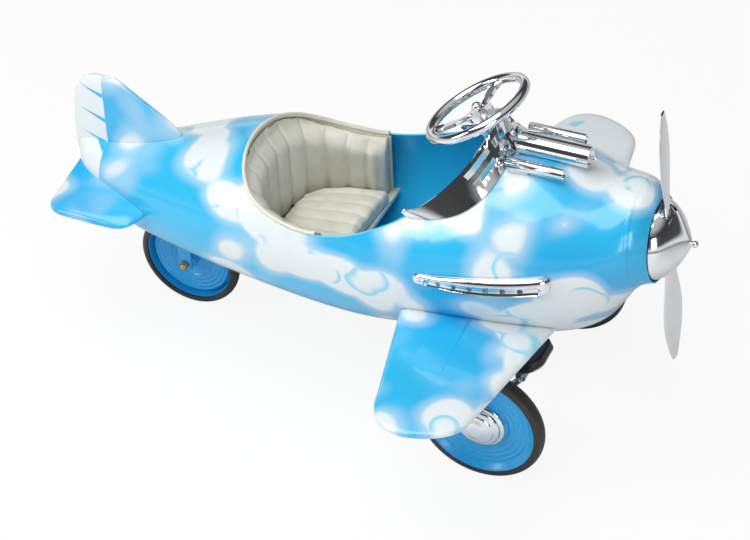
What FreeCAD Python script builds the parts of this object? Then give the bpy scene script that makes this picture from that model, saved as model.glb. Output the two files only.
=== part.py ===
"""Pedal plane: a child's pressed-steel aeroplane driven by pedals on the front axle.

Sizes are millimetres. The pieces are drawn in the plane's own level frame: x forward from the
front axle, y to the left (port), z up from the ground below the front axle. The last step turns
the whole plane nose-up about the front axle until the tail wheel stands on the same ground, and
moves the origin to the middle of the length.
"""
import FreeCAD, Part
import math
import os

# Clearances
RUN_GAP = 0.05          # radial gap of a shaft in its bore
SEAT_GAP = 0.3          # gap between a piece and the curved skin it sits on
SIDE_GAP = 1.0          # axial gap between turning pieces

# Fuselage skin: x, half width, height of the widest line, rise above it, drop below it
SKIN = 2.0
STATIONS = [
    (-868.0, 9.0, 300.0, 52.0, 42.0),
    (-800.0, 62.0, 288.0, 72.0, 78.0),
    (-700.0, 101.0, 290.0, 93.0, 101.0),
    (-600.0, 135.0, 303.0, 116.0, 119.0),
    (-500.0, 156.0, 316.0, 136.0, 140.0),
    (-400.0, 164.0, 321.0, 157.0, 160.0),
    (-300.0, 170.0, 324.0, 163.0, 170.0),
    (-200.0, 176.0, 333.0, 160.0, 169.0),
    (-100.0, 179.0, 354.0, 156.0, 162.0),
    (0.0, 174.0, 372.0, 169.0, 159.0),
    (90.0, 153.0, 386.0, 152.0, 163.0),
    (170.0, 119.0, 405.0, 116.0, 125.0),
    (236.0, 73.0, 424.5, 73.0, 73.0),
]
NOSE_TILT = 5.0         # degrees the propeller axis points up from the level frame
TILT_START = 0.0        # x where the sections begin to lean
TILT_RUN = 200.0        # length over which they lean to the full tilt

# Cockpit rim in side view: x and height, back to front
RIM = [
    (-507.0, 459.0), (-499.0, 447.0), (-477.0, 426.0), (-445.0, 405.0), (-400.0, 390.0),
    (-345.0, 384.0), (-300.0, 390.0), (-260.0, 401.0), (-220.0, 418.0), (-180.0, 439.0),
    (-140.0, 466.0), (-110.0, 488.0), (-85.0, 512.0), (-66.0, 545.0),
]
BELLY_BACK, BELLY_FRONT, BELLY_HALF = -150.0, 105.0, 98.0
WELL_HALF_LENGTH, WELL_HALF_WIDTH = 96.0, 54.0
WELL_CORNER = 30.0

# Wheels
WHEEL_R, TYRE_WIDTH, RIM_R = 115.0, 28.0, 100.0
TAIL_R, TAIL_TYRE_WIDTH, TAIL_RIM_R = 99.0, 27.0, 86.0
WHEELBASE = 664.0
TAIL_AXLE_RISE = 4.0    # tail axle above the front axle in the level frame
TRACK = 410.0           # between the middles of the front tyres
DISC_SKIN = 2.0
HUB_R, HUB_HALF = 17.0, 17.0
DISC_RINGS, RING_HEIGHT = 4, 1.8
TYRE_CROWN = 8.0        # height of the round part of the tyre
CAP_R, CAP_HEIGHT = 46.0, 19.0

# Crank axle and pedals
AXLE_R = 6.0
AXLE_END = 1.5          # axle beyond the hub
CAP_SEAT = 7.5          # hub cap's flat side from the middle of the wheel
THROW = 65.0
CRANK_ANGLE = 50.0      # degrees the right pin stands above straight ahead
PIN_INNER, PIN_OUTER = 40.0, 137.0
PAD_LENGTH, PAD_THICK, PAD_CORNER, PAD_EDGE = 86.0, 14.0, 26.0, 4.0
PAD_LEAN = -26.0        # degrees the pad is turned about its pin, front edge up
PEDAL_TUBE_R = 9.0
PEDAL_PLATE = 2.5

# Landing gear legs
LEG_Y, LEG_THICK, LEG_TOP_HALF, LEG_FOOT = 176.0, 3.0, 34.0, 24.0
LEG_BOSS_R, BUSH_R, BUSH_HALF = 15.0, 10.0, 9.0
LEG_BOLT_R = 3.0

# Wing: distance from the middle, leading x, trailing x, rise and drop about its middle height.
# The first two rows are joined straight, the others round the tip.
WING_Z, WING_ROOT_Y, WING_DIHEDRAL = 279.0, 130.0, 0.05
WING = [
    (100.0, 101.0, -176.0, 17.0, 12.0),
    (385.0, 60.0, -103.0, 13.0, 10.5),
    (415.0, 50.0, -94.0, 11.0, 9.5),
    (437.0, 26.0, -80.0, 9.0, 8.0),
    (450.0, -3.0, -62.0, 6.5, 6.0),
    (455.0, -20.0, -45.0, 4.0, 4.0),
]
# Tailplane in the same terms
TAILPLANE_Z, TAILPLANE_DIHEDRAL = 300.0, -0.12
TAILPLANE = [
    (8.0, -650.0, -868.0, 12.0, 10.0),
    (122.0, -688.0, -864.0, 12.0, 10.0),
    (136.0, -696.0, -859.0, 10.5, 9.0),
    (146.0, -707.0, -849.0, 7.5, 7.0),
    (150.0, -722.0, -836.0, 4.0, 4.0),
]
# Fin: height, leading x, trailing x, half thickness
FIN = [
    (318.0, -600.0, -873.0, 15.0),
    (372.0, -632.0, -873.0, 14.0),
    (415.0, -664.0, -869.0, 12.0),
    (450.0, -713.0, -861.0, 10.5),
    (476.0, -752.0, -846.0, 9.0),
    (491.0, -783.0, -822.0, 5.0),
]
FOIL_FULLNESS = 1.25    # how square the edges of wing, tailplane and fin sections are

# Side vents
VENT_BACK, VENT_Z_BACK, VENT_SLOPE = -128.0, 370.0, 0.138
# Along the vent from its back: distance, half height, depth out from the skin
VENT = [
    (0.0, 4.0, 2.5), (4.0, 8.5, 5.0), (18.0, 10.5, 7.0), (70.0, 14.0, 11.5), (140.0, 17.0, 15.0),
    (205.0, 19.0, 16.0), (224.0, 16.5, 13.0), (231.0, 10.0, 7.0),
]
TROUGH_START, TROUGH_END, TROUGH_R, TROUGH_DEPTH, TROUGH_BELOW = 30.0, 214.0, 10.0, 6.0, 4.0
PORT_COUNT, PORT_R, PORT_FIRST, PORT_STEP = 6, 4.6, 46.0, 28.0
VENT_SCREW = 12.0       # vent screw from the back end

# Windscreen arch: foot line on the cowl (x, y) and the lean of its free edge (dx, dy, dz)
ARCH = [
    (-14.0, 0.0, -26.0, 0.0, 62.0),
    (-18.0, 47.0, -34.0, -5.0, 46.0),
    (-27.0, 88.0, -47.0, -9.0, 26.0),
    (-50.0, 114.0, -51.0, -9.0, 17.0),
    (-85.0, 126.0, -42.0, -7.0, 12.0),
    (-123.0, 129.0, -28.0, -4.0, 9.0),
    (-158.0, 127.0, -10.0, -1.0, 6.0),
]
ARCH_THICK = 4.0
# Openings in each half of the windscreen: start and end from crown to foot, low and high edge
ARCH_OPENINGS = [(0.05, 0.15, 0.25, 0.46), (0.05, 0.15, 0.62, 0.86),
                 (0.185, 0.37, 0.32, 0.50), (0.185, 0.37, 0.67, 0.85)]

# Guns on the cowl
GUN_Z, GUN_BACK, GUN_FRONT, GUN_R, GUN_BORE = 556.0, -8.0, 113.0, 18.5, 13.0
SIDE_GUN_Y, SIDE_GUN_Z, SIDE_GUN_BACK, SIDE_GUN_FRONT, SIDE_GUN_R = 51.0, 549.0, -12.0, 86.0, 10.0
GUN_SADDLE = 8.0

# Propeller and spinner, along the tilted axis from the hub
HUB_X, HUB_Z = 250.0, 426.5
PROP_R, BLADE_WIDTH, BLADE_THICK, BLADE_PITCH = 247.0, 66.0, 7.0, 7.0
SPINNER_R, SPINNER_BACK, SPINNER_FRONT, SPINNER_WALL = 68.0, -13.0, 40.0, 2.0
SLOT_FRONT, SLOT_HALF = 10.0, 21.0
BULGE_X, BULGE_R = 15.0, 60.0   # corner that the spinner's curve leans to
BALL_R = 6.0
PROP_SHAFT_R, PROP_SHAFT_BACK, PROP_SHAFT_FRONT = 6.0, -62.0, 22.0
BOSS_BACK = 17.0        # back of the spinner's boss on the shaft
BULKHEAD_BACK = -28.0
BULKHEAD_THICK = 3.0

# Steering
WHEEL_X, WHEEL_Z, WHEEL_RAKE = -83.0, 603.0, 60.0
STEER_R, STEER_RIM_R = 87.0, 8.5
SPOKE_WIDTH, SPOKE_THICK = 21.0, 6.0
STEER_HUB_R, STEER_HUB_DROP = 24.0, 9.0
SPOKE_ANGLES = (90.0, 210.0, 330.0)
WHEEL_NUT_R = 11.0
COLUMN_R, COLUMN_LENGTH = 7.0, 360.0
COLUMN_BUSH_R = 12.0
BRACKET_UP, BRACKET_HALF, BRACKET_THICK = 60.0, 20.0, 3.0   # bracket above the column's foot
PITMAN_ARM, TILLER_ARM = 52.0, 45.0
ARM_BOSS_R, ARM_HEIGHT, ARM_HALF, ARM_THICK = 13.0, 14.0, 8.0, 5.0
PIN_R, PIN_REACH = 4.0, 26.0
ROD_R, ROD_EYE_R, ROD_LOOP_R, LOOP_BORE = 4.5, 10.0, 16.0, 10.5
LOOP_DROP = 10.0        # middle of the rod's loop below the foot of the column
LOOP_SHIFT = 3.0        # the loop's middle stands this far in from the pin
ROD_ROUTE = [(40.0, -46.0, 236.0), (-540.0, 30.0, 226.0)]
ROD_CLEAR = 0.3

# Tail fork and its carrier
FORK_INNER, FORK_THICK, FORK_HALF, CROWN_GAP = 18.5, 4.0, 13.0, 8.0
TILLER_Z, TILLER_THICK = 232.0, 6.0
KINGPIN_R, KINGPIN_BUSH_R = 7.0, 12.0
KINGPIN_BUSH_Z, KINGPIN_BUSH_TOP, KINGPIN_TOP = 246.0, 300.0, 312.0
CARRIER_Z, CARRIER_THICK, CARRIER_HALF = 262.0, 4.0, 30.0
TAIL_AXLE_R, TAIL_NUT_R, TAIL_NUT_HEIGHT = 5.0, 9.0, 11.0

# Seat
SEAT_FRONT, SEAT_Z, SEAT_SLOPE, SEAT_MIDDLE = -303.0, 288.0, 0.13, -400.0
SEAT_THICK, SEAT_CROWN, SEAT_CHANNELS = 33.0, 7.0, 8
PAN_THICK, PAN_LIP = 2.0, 8.0
BACK_FRONT, BACK_LENGTH, BACK_HALF, BACK_FULLNESS = -312.0, 189.0, 148.0, 1.5
BACK_THICK, BACK_CHANNELS = 24.0, 13
PANEL_THICK = 1.5
CHANNEL_BULGE, SIDE_DRAW = 3.0, 3.0
CUSHION_GAP, CUSHION_SIDE_GAP = 0.3, 1.5
PIPING_OUT, PIPING_IN, PIPING_HEIGHT, PIPING_FRONT = 2.5, 4.0, 8.0, -330.0

# The pieces that can reach furthest forward or back
ENDS = ("spinner", "propeller", "body_shell", "tail_fin", "left_tailplane", "tail_tyre")

V = FreeCAD.Vector
ORIGIN = V(0, 0, 0)
AXIS_X, AXIS_Y, AXIS_Z = V(1, 0, 0), V(0, 1, 0), V(0, 0, 1)
SIDES = {"left": 1, "right": -1}
parts = {}


def curve_value(rows, column, x):
    """Smooth value of one column at x: cubic pieces whose slopes come from the neighbours."""
    last = len(rows) - 1
    x = min(max(x, rows[0][0]), rows[last][0])
    i = max(k for k in range(last) if rows[k][0] <= x)
    x0, x1 = rows[i][0], rows[i + 1][0]

    def slope(k):
        a, b = max(k - 1, 0), min(k + 1, last)
        return (rows[b][column] - rows[a][column]) / (rows[b][0] - rows[a][0])

    t, span = (x - x0) / (x1 - x0), x1 - x0
    y0, y1 = rows[i][column], rows[i + 1][column]
    return ((1 + 2 * t) * (1 - t) ** 2 * y0 + t * (1 - t) ** 2 * span * slope(i)
            + t * t * (3 - 2 * t) * y1 + t * t * (t - 1) * span * slope(i + 1))


def section(x):
    """Half width, middle height, rise and drop of the fuselage at x."""
    return [curve_value(STATIONS, column, x) for column in (1, 2, 3, 4)]


def lean(x):
    """Tangent of the lean of the section at x."""
    share = min(max((x - TILT_START) / TILT_RUN, 0.0), 1.0)
    return math.tan(math.radians(NOSE_TILT * share))


def spline(points):
    curve = Part.BSplineCurve()
    curve.interpolate(Points=points)
    return curve.toShape()


def quarter(middle, a, b, fullness=math.sqrt(0.5)):
    """Quarter of an oval from middle + a to middle + b; a higher fullness squares its corner."""
    curve = Part.BezierCurve()
    curve.setPoles([middle + a, middle + a + b, middle + b])
    curve.setWeight(2, fullness)
    return curve.toShape()


def oval(middle, right, up, left, down, fullness=math.sqrt(0.5)):
    """Closed oval through the ends of four arms."""
    arms = [right, up, left, down, right]
    return Part.Wire([quarter(middle, p, q, fullness) for p, q in zip(arms, arms[1:])])


def fuselage_ring(x, inset, shift=0.0):
    """Oval section, meeting upright at its widest line, and leaning back towards the nose."""
    half, mid, rise, drop = section(x)
    up = V(-lean(x), 0, 1)
    return oval(V(x + shift, 0, mid), V(0, half - inset, 0), up * (rise - inset),
                V(0, inset - half, 0), up * (inset - drop))


def fuselage_solid(inset, open_front=0.0, shorten=0.0):
    """Fuselage form, drawn in by inset on all sides, and carried on past its open front."""
    xs = [row[0] for row in STATIONS]
    xs[0] += shorten
    body = Part.makeLoft([fuselage_ring(x, inset) for x in xs], True, False)
    if not open_front:
        return body
    front = [fuselage_ring(xs[-1], inset), fuselage_ring(xs[-1], inset, open_front)]
    return body.fuse(Part.makeLoft(front, True, True))


def skin_top(x, y):
    """Height of the outer skin above (x, y)."""
    half, mid, rise, drop = section(x)
    return mid + rise * math.sqrt(max(1 - (y / half) ** 2, 0.0))


def skin_side(x, z, inset=0.0):
    """Distance of the skin from the middle plane at height z."""
    half, mid, rise, drop = section(x)
    reach = (rise if z > mid else drop) - inset
    return (half - inset) * math.sqrt(max(1 - ((z - mid) / reach) ** 2, 0.0))


def extrude(points, direction):
    return Part.Face(Part.makePolygon(points + points[:1])).extrude(direction)


def rod(a, b, radius):
    return Part.makeCylinder(radius, (b - a).Length, a, b - a)


def bent_rod(points, radius):
    """Round bar through the points, with a ball at each bend."""
    pieces = [rod(a, b, radius) for a, b in zip(points, points[1:])]
    balls = [Part.makeSphere(radius, p) for p in points[1:-1]]
    return pieces[0].multiFuse(pieces[1:] + balls).removeSplitter()


def ring_y(outer, inner, y0, y1, x=0.0, z=0.0):
    """Round collar on an axis along y."""
    low = V(x, min(y0, y1), z)
    body = Part.makeCylinder(outer, abs(y1 - y0), low, AXIS_Y)
    return body.cut(Part.makeCylinder(inner, abs(y1 - y0), low, AXIS_Y))


def mirrored(shape):
    return shape.mirror(ORIGIN, AXIS_Y)


def on_side(shape, side):
    """The shape is drawn on the left; the right one is its mirror image."""
    return shape if side > 0 else mirrored(shape)


def hex_head(radius, height, base, axis):
    """Six-sided head of a bolt, its flat seat at base."""
    points = [V(radius * math.cos(math.radians(60 * k)), radius * math.sin(math.radians(60 * k)), 0)
              for k in range(6)]
    head = extrude(points, V(0, 0, height))
    return aimed(head, base, axis)


def aimed(shape, base, axis):
    """Turn a shape from the z axis to the given axis, and move it to base."""
    shape.Placement = FreeCAD.Placement(base, FreeCAD.Rotation(AXIS_Z, axis))
    return shape


def dome_screw(radius, shank, length, base, axis):
    """Round-headed screw: its head stands on base, its shank goes the other way."""
    head = Part.makeSphere(radius).common(Part.makeBox(4 * radius, 4 * radius, 2 * radius,
                                                       V(-2 * radius, -2 * radius, radius * 0.45)))
    head.translate(V(0, 0, -radius * 0.45))
    pin = Part.makeCylinder(shank, length, V(0, 0, -length))
    return aimed(head.fuse(pin), base, axis)


def acorn_nut(radius, height, bore, base, axis):
    """Domed cap nut: six flats with a rounded top, bored from its seat."""
    points = [V(radius * math.cos(math.radians(60 * k)), radius * math.sin(math.radians(60 * k)), 0)
              for k in range(6)]
    nut = extrude(points, V(0, 0, height * 0.55))
    dome = Part.makeSphere(radius * 0.82, V(0, 0, height * 0.55))
    nut = nut.fuse(dome.common(Part.makeBox(4 * radius, 4 * radius, height,
                                            V(-2 * radius, -2 * radius, height * 0.3))))
    nut = nut.cut(Part.makeCylinder(bore, height * 0.6))
    return aimed(nut, base, axis)


def foil_ring(front, back, middle, rise, drop, place):
    """Closed section with rounded edges; place(x, h) puts a point of it in space."""
    x = (front + back) / 2
    half = (front - back) / 2
    centre = place(x, middle)
    along = place(x + half, middle) - centre
    across = place(x, middle + 1) - centre
    return oval(centre, along, across * rise, along * -1, across * -drop, FOIL_FULLNESS)


def flat_foil(rows, z, root_y, dihedral):
    """Wing or tailplane form on the left side: straight to the second row, then a rounded tip."""
    rings = []
    for y, front, back, rise, drop in rows:
        level = z + (y - root_y) * dihedral
        rings.append(foil_ring(front, back, level, rise, drop, lambda x, h, y=y: V(x, y, h)))
    return Part.makeLoft(rings[:2], True, True).fuse(Part.makeLoft(rings[1:], True, False))


def outer_skin():
    """Fuselage form grown by the seat gap, which trims what sits on it."""
    return fuselage_solid(-SEAT_GAP)


def rim_cutter(drop=0.0):
    """Everything above the cockpit rim, in side view, across the whole width."""
    points = [V(x, -250, z - drop) for x, z in RIM]
    top = 760.0
    edges = [spline(points), Part.makeLine(points[-1], V(RIM[-1][0], -250, top)),
             Part.makeLine(V(RIM[-1][0], -250, top), V(RIM[0][0], -250, top)),
             Part.makeLine(V(RIM[0][0], -250, top), points[0])]
    return Part.Face(Part.Wire(edges)).extrude(V(0, 500, 0))


def rounded_plate(x0, x1, half, corner, z0, z1):
    """Upright block with rounded corners in plan."""
    block = Part.makeBox(x1 - x0, 2 * half, z1 - z0, V(x0, -half, z0))
    upright = [e for e in block.Edges if abs(e.Vertexes[0].Z - e.Vertexes[-1].Z) > 1]
    return block.makeFillet(corner, upright)


def make_fuselage(outer):
    shell = fuselage_solid(0.0).cut(fuselage_solid(SKIN, open_front=20.0, shorten=SKIN))
    belly = rounded_plate(BELLY_BACK, BELLY_FRONT, BELLY_HALF, WELL_CORNER, 100.0, 300.0)
    well = rounded_plate(-WHEELBASE - WELL_HALF_LENGTH, -WHEELBASE + WELL_HALF_LENGTH,
                         WELL_HALF_WIDTH, WELL_CORNER, 100.0, 290.0)
    parts["body_shell"] = shell.cut(rim_cutter()).cut(belly).cut(well)


def make_tail_and_wings(outer):
    wing = flat_foil(WING, WING_Z, WING_ROOT_Y, WING_DIHEDRAL).cut(outer)
    tailplane = flat_foil(TAILPLANE, TAILPLANE_Z, TAILPLANE[0][0], TAILPLANE_DIHEDRAL).cut(outer)
    rings = [foil_ring(front, back, 0.0, half, half, lambda x, h, z=z: V(x, h, z))
             for z, front, back, half in FIN]
    fin = Part.makeLoft(rings, True, False).cut(outer)
    parts["tail_fin"] = max(fin.Solids, key=lambda s: s.Volume)
    for name, side in SIDES.items():
        parts[name + "_wing"] = on_side(max(wing.Solids, key=lambda s: s.Volume), side)
        parts[name + "_tailplane"] = on_side(max(tailplane.Solids, key=lambda s: s.Volume), side)


def vent_place(along, out=0.0, drop=0.0):
    """Point on the skin along the vent's sloping middle line, moved out and down."""
    x = VENT_BACK + along
    z = VENT_Z_BACK + along * VENT_SLOPE
    return V(x, skin_side(x, z) + out, z - drop)


def make_vents(outer):
    """Streamlined pod on each side, with a hollowed trough and a row of ports in it."""
    rings = []
    for along, half, depth in VENT:
        out, up = V(0, depth, 0), V(0, 0, half)
        rings.append(oval(vent_place(along), out, up, out * -1, up * -1, FOIL_FULLNESS))
    vent = Part.makeLoft(rings, True, False).cut(outer)
    steps = 6
    middles = []
    for k in range(steps + 1):
        along = TROUGH_START + (TROUGH_END - TROUGH_START) * k / steps
        depth = curve_value(VENT, 2, along)
        middles.append(vent_place(along, depth + TROUGH_R - TROUGH_DEPTH, TROUGH_BELOW))
    ends = [Part.makeSphere(TROUGH_R, p) for p in (middles[0], middles[-1])]
    vent = vent.cut([bent_rod(middles, TROUGH_R)] + ends)
    for k in range(PORT_COUNT):
        hole = vent_place(PORT_FIRST + k * PORT_STEP, -60.0, TROUGH_BELOW)
        vent = vent.cut(Part.makeCylinder(PORT_R, 120, hole, AXIS_Y))
    vent = max(vent.Solids, key=lambda s: s.Volume)
    depth = curve_value(VENT, 2, VENT_SCREW)
    head = vent_place(VENT_SCREW, depth)
    spot_face = Part.makeCylinder(4.3, 20, head, AXIS_Y)
    vent = vent.cut([spot_face, Part.makeCylinder(2.0 + RUN_GAP, 60, head - AXIS_Y * 30, AXIS_Y)])
    screw = dome_screw(4.0, 2.0, depth - 1, head, AXIS_Y)
    screws = []
    for name, side in SIDES.items():
        parts[name + "_side_vent"] = on_side(vent, side)
        screws.append(on_side(screw, side))
    parts["vent_screws"] = Part.makeCompound(screws)


def arch_rows():
    """Foot point, free-edge point and outward normal of the windscreen at each row."""
    rows = []
    for side in (-1, 1):
        half = []
        for x, y, dx, dy, dz in ARCH:
            foot = V(x, side * y, skin_top(x, y) + SEAT_GAP + 0.6)
            half.append((foot, V(dx, side * dy, dz)))
        rows.append(half)
    return rows[0][::-1] + rows[1][1:]


def make_arch(outer):
    rows = arch_rows()
    rings = []
    for k, (foot, rise) in enumerate(rows):
        before, after = rows[max(k - 1, 0)][0], rows[min(k + 1, len(rows) - 1)][0]
        normal = rise.cross(after - before)
        normal.normalize()
        if normal.x < 0:
            normal = -normal
        a, b = foot - normal * ARCH_THICK / 2, foot + normal * ARCH_THICK / 2
        rings.append(Part.makePolygon([a, b, b + rise, a + rise, a]))
    arch = Part.makeLoft(rings, True, False)
    arch = max(arch.cut(outer).Solids, key=lambda s: s.Volume)
    for side in (-1, 1):
        for opening in ARCH_OPENINGS:
            for cutter in arch_slot(rows, side, *opening):
                arch = arch.cut(cutter)
    feet = []
    for side in (-1, 1):
        x, y, dx, dy, dz = ARCH[-1]
        base = V(x + dx / 2, side * (y + dy / 2), skin_top(x, y) + dz + 5)
        feet.append(dome_screw(4.0, 2.0, 4.0, base, V(-0.2, side * 0.6, 0.8)))
    parts["arch_screws"] = Part.makeCompound(feet)
    parts["windscreen_arch"] = arch.cut(feet)


def arch_point(rows, side, share, level):
    """Point on the windscreen: share runs from the crown (0) to the foot (1), level up its width."""
    half = (rows[:len(ARCH)][::-1] if side < 0 else rows[len(ARCH) - 1:])
    place = share * (len(half) - 1)
    k = min(int(place), len(half) - 2)
    t = place - k
    foot = half[k][0] * (1 - t) + half[k + 1][0] * t
    rise = half[k][1] * (1 - t) + half[k + 1][1] * t
    return foot + rise * level, rise


def arch_slot(rows, side, start, end, low, high):
    """Cutter through the windscreen between two shares and two levels, in short steps."""
    steps = max(2, round((end - start) / 0.05))
    cutters = []
    for k in range(steps):
        shares = [start + (end - start) * (k + more) / steps for more in (0.0, 1.02)]
        a, b = [arch_point(rows, side, share, low)[0] for share in shares]
        d, c = [arch_point(rows, side, share, high)[0] for share in shares]
        normal = (b - a).cross(d - a)
        normal.normalize()
        reach = normal * ARCH_THICK * 3
        cutters.append(Part.makeLoft([Part.makePolygon([p + reach * way for p in (a, b, c, d, a)])
                                      for way in (-1, 1)], True, True))
    return cutters


def make_guns(outer):
    barrel = Part.makeCylinder(GUN_R, GUN_FRONT - GUN_BACK, V(GUN_BACK, 0, GUN_Z), AXIS_X)
    barrel = barrel.cut(Part.makeCylinder(GUN_BORE, 26, V(GUN_FRONT - 26, 0, GUN_Z), AXIS_X))
    pin = Part.makeCylinder(3.0, 34, V(GUN_FRONT - 26, 0, GUN_Z), AXIS_X)
    pin = pin.fuse(Part.makeSphere(4.0, V(GUN_FRONT + 8, 0, GUN_Z)))
    saddle = Part.makeBox(GUN_FRONT - GUN_BACK - 30, 2 * GUN_SADDLE, 60,
                          V(GUN_BACK + 10, -GUN_SADDLE, GUN_Z - 60))
    arch = parts["windscreen_arch"]
    gun = barrel.fuse([pin, saddle]).cut(outer)
    gun = gun.cut(Part.makeCylinder(GUN_BORE, 26, V(GUN_FRONT - 26, 0, GUN_Z), AXIS_X)).fuse(pin)
    parts["centre_gun"] = max(gun.cut(arch).Solids, key=lambda s: s.Volume)
    tube = Part.makeCylinder(SIDE_GUN_R, SIDE_GUN_FRONT - SIDE_GUN_BACK,
                             V(SIDE_GUN_BACK, SIDE_GUN_Y, SIDE_GUN_Z), AXIS_X)
    bore = Part.makeCylinder(SIDE_GUN_R - 3, 22, V(SIDE_GUN_FRONT - 22, SIDE_GUN_Y, SIDE_GUN_Z), AXIS_X)
    pad = Part.makeBox(30, SIDE_GUN_R, 60, V(SIDE_GUN_BACK + 8, SIDE_GUN_Y - SIDE_GUN_R / 2,
                                             SIDE_GUN_Z - 60))
    side_gun = tube.fuse(pad).cut(bore).cut(outer).cut(arch)
    side_gun = max(side_gun.Solids, key=lambda s: s.Volume)
    for name, side in SIDES.items():
        parts[name + "_gun"] = on_side(side_gun, side)


def nose(shape):
    """Move a shape drawn about the x axis onto the tilted propeller axis."""
    shape.rotate(ORIGIN, AXIS_Y, -NOSE_TILT)
    shape.translate(V(HUB_X, 0, HUB_Z))
    return shape


def blade():
    """One blade along +z, lofted from root to tip with its pitch washing out."""
    rows = [(0.04, 0.34, 1.5, 2.0), (0.29, 0.54, 1.1, 1.6), (0.56, 1.0, 1.0, 1.1),
            (0.84, 0.78, 0.8, 0.8), (1.0, 0.26, 0.5, 0.6)]
    rings = []
    for share, width, thick, twist in rows:
        turn = FreeCAD.Rotation(AXIS_Z, BLADE_PITCH * twist)
        wide = turn.multVec(V(0, BLADE_WIDTH * width / 2, 0))
        deep = turn.multVec(V(BLADE_THICK * thick / 2, 0, 0))
        rings.append(oval(V(0, 0, PROP_R * share), wide, deep, wide * -1, deep * -1))
    return Part.makeLoft(rings, True, False)


def spinner_cone(wall):
    """Bullet form of the spinner, drawn in by the wall on its round side."""
    start = V(SPINNER_BACK, 0, SPINNER_R - wall)
    tip = V(SPINNER_FRONT - wall, 0, 0)
    side = Part.BezierCurve()
    side.setPoles([start, V(BULGE_X - wall / 2, 0, BULGE_R - wall), tip])
    edges = [side.toShape(), Part.makeLine(tip, V(SPINNER_BACK, 0, 0)),
             Part.makeLine(V(SPINNER_BACK, 0, 0), start)]
    return Part.Face(Part.Wire(edges)).revolve(ORIGIN, AXIS_X, 360)


def make_propeller():
    hub = Part.makeCylinder(19.0, 16.0, V(-8, 0, 0), AXIS_X)
    low = blade()
    low.rotate(ORIGIN, AXIS_X, 180)
    prop = hub.fuse([blade(), low])
    prop = prop.cut(Part.makeCylinder(PROP_SHAFT_R, 60, V(-30, 0, 0), AXIS_X))
    spinner = spinner_cone(0.0).cut(spinner_cone(SPINNER_WALL))
    boss = Part.makeCylinder(PROP_SHAFT_R + 3, SPINNER_FRONT - 4.5 - BOSS_BACK, V(BOSS_BACK, 0, 0), AXIS_X)
    spinner = spinner.fuse([boss, Part.makeSphere(BALL_R, V(SPINNER_FRONT + BALL_R * 0.6, 0, 0))])
    spinner = spinner.cut(Part.makeCylinder(PROP_SHAFT_R, PROP_SHAFT_FRONT, ORIGIN, AXIS_X))
    for up in (1, -1):
        slot = Part.makeBox(SLOT_FRONT - SPINNER_BACK + 1, 2 * SLOT_HALF, SPINNER_R,
                            V(SPINNER_BACK - 1, -SLOT_HALF, 20 if up > 0 else -20 - SPINNER_R))
        spinner = spinner.cut(slot)
    shaft = Part.makeCylinder(PROP_SHAFT_R, PROP_SHAFT_FRONT - PROP_SHAFT_BACK,
                              V(PROP_SHAFT_BACK, 0, 0), AXIS_X)
    nut = hex_head(10.0, 7.0, V(8.2, 0, 0), AXIS_X)
    nut = nut.cut(Part.makeCylinder(PROP_SHAFT_R, 30, V(0, 0, 0), AXIS_X))
    collar = Part.makeCylinder(10.0, 8.0, V(PROP_SHAFT_BACK, 0, 0), AXIS_X)
    collar = collar.cut(Part.makeCylinder(PROP_SHAFT_R, 30, V(PROP_SHAFT_BACK, 0, 0), AXIS_X))
    parts["propeller"] = nose(prop)
    parts["spinner"] = nose(spinner)
    parts["prop_shaft"] = nose(shaft)
    parts["prop_nut"] = nose(nut)
    parts["prop_collar"] = nose(collar)
    bush = Part.makeCylinder(11.0, 24, V(BULKHEAD_BACK - 20, 0, 0), AXIS_X)
    bush = bush.fuse(Part.makeCylinder(20.0, 3, V(BULKHEAD_BACK + BULKHEAD_THICK, 0, 0), AXIS_X))
    parts["prop_bush"] = nose(bush.cut(Part.makeCylinder(PROP_SHAFT_R + RUN_GAP, 60,
                                                         V(BULKHEAD_BACK - 30, 0, 0), AXIS_X)))
    plate = Part.makeCylinder(120.0, BULKHEAD_THICK, V(BULKHEAD_BACK, 0, 0), AXIS_X)
    plate = nose(plate.cut(Part.makeCylinder(11.0, 30, V(BULKHEAD_BACK - 10, 0, 0), AXIS_X)))
    parts["nose_bulkhead"] = plate.common(fuselage_solid(SKIN + SEAT_GAP, open_front=20.0))


def disc_profile(rim_r, half_width):
    """Outer face of a pressed wheel disc: (radius, distance out), with raised rings near the rim."""
    points = [(HUB_R, 6.0), (HUB_R + 12, 7.0), (HUB_R + 26, 5.0)]
    start, step = rim_r * 0.5, rim_r * 0.38 / DISC_RINGS
    for k in range(DISC_RINGS):
        r = start + k * step
        points += [(r, 2.0), (r + step * 0.5, 2.0 + RING_HEIGHT)]
    points += [(rim_r * 0.88, 2.0), (rim_r * 0.95, half_width * 0.6), (rim_r, half_width * 0.92)]
    return points


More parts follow.
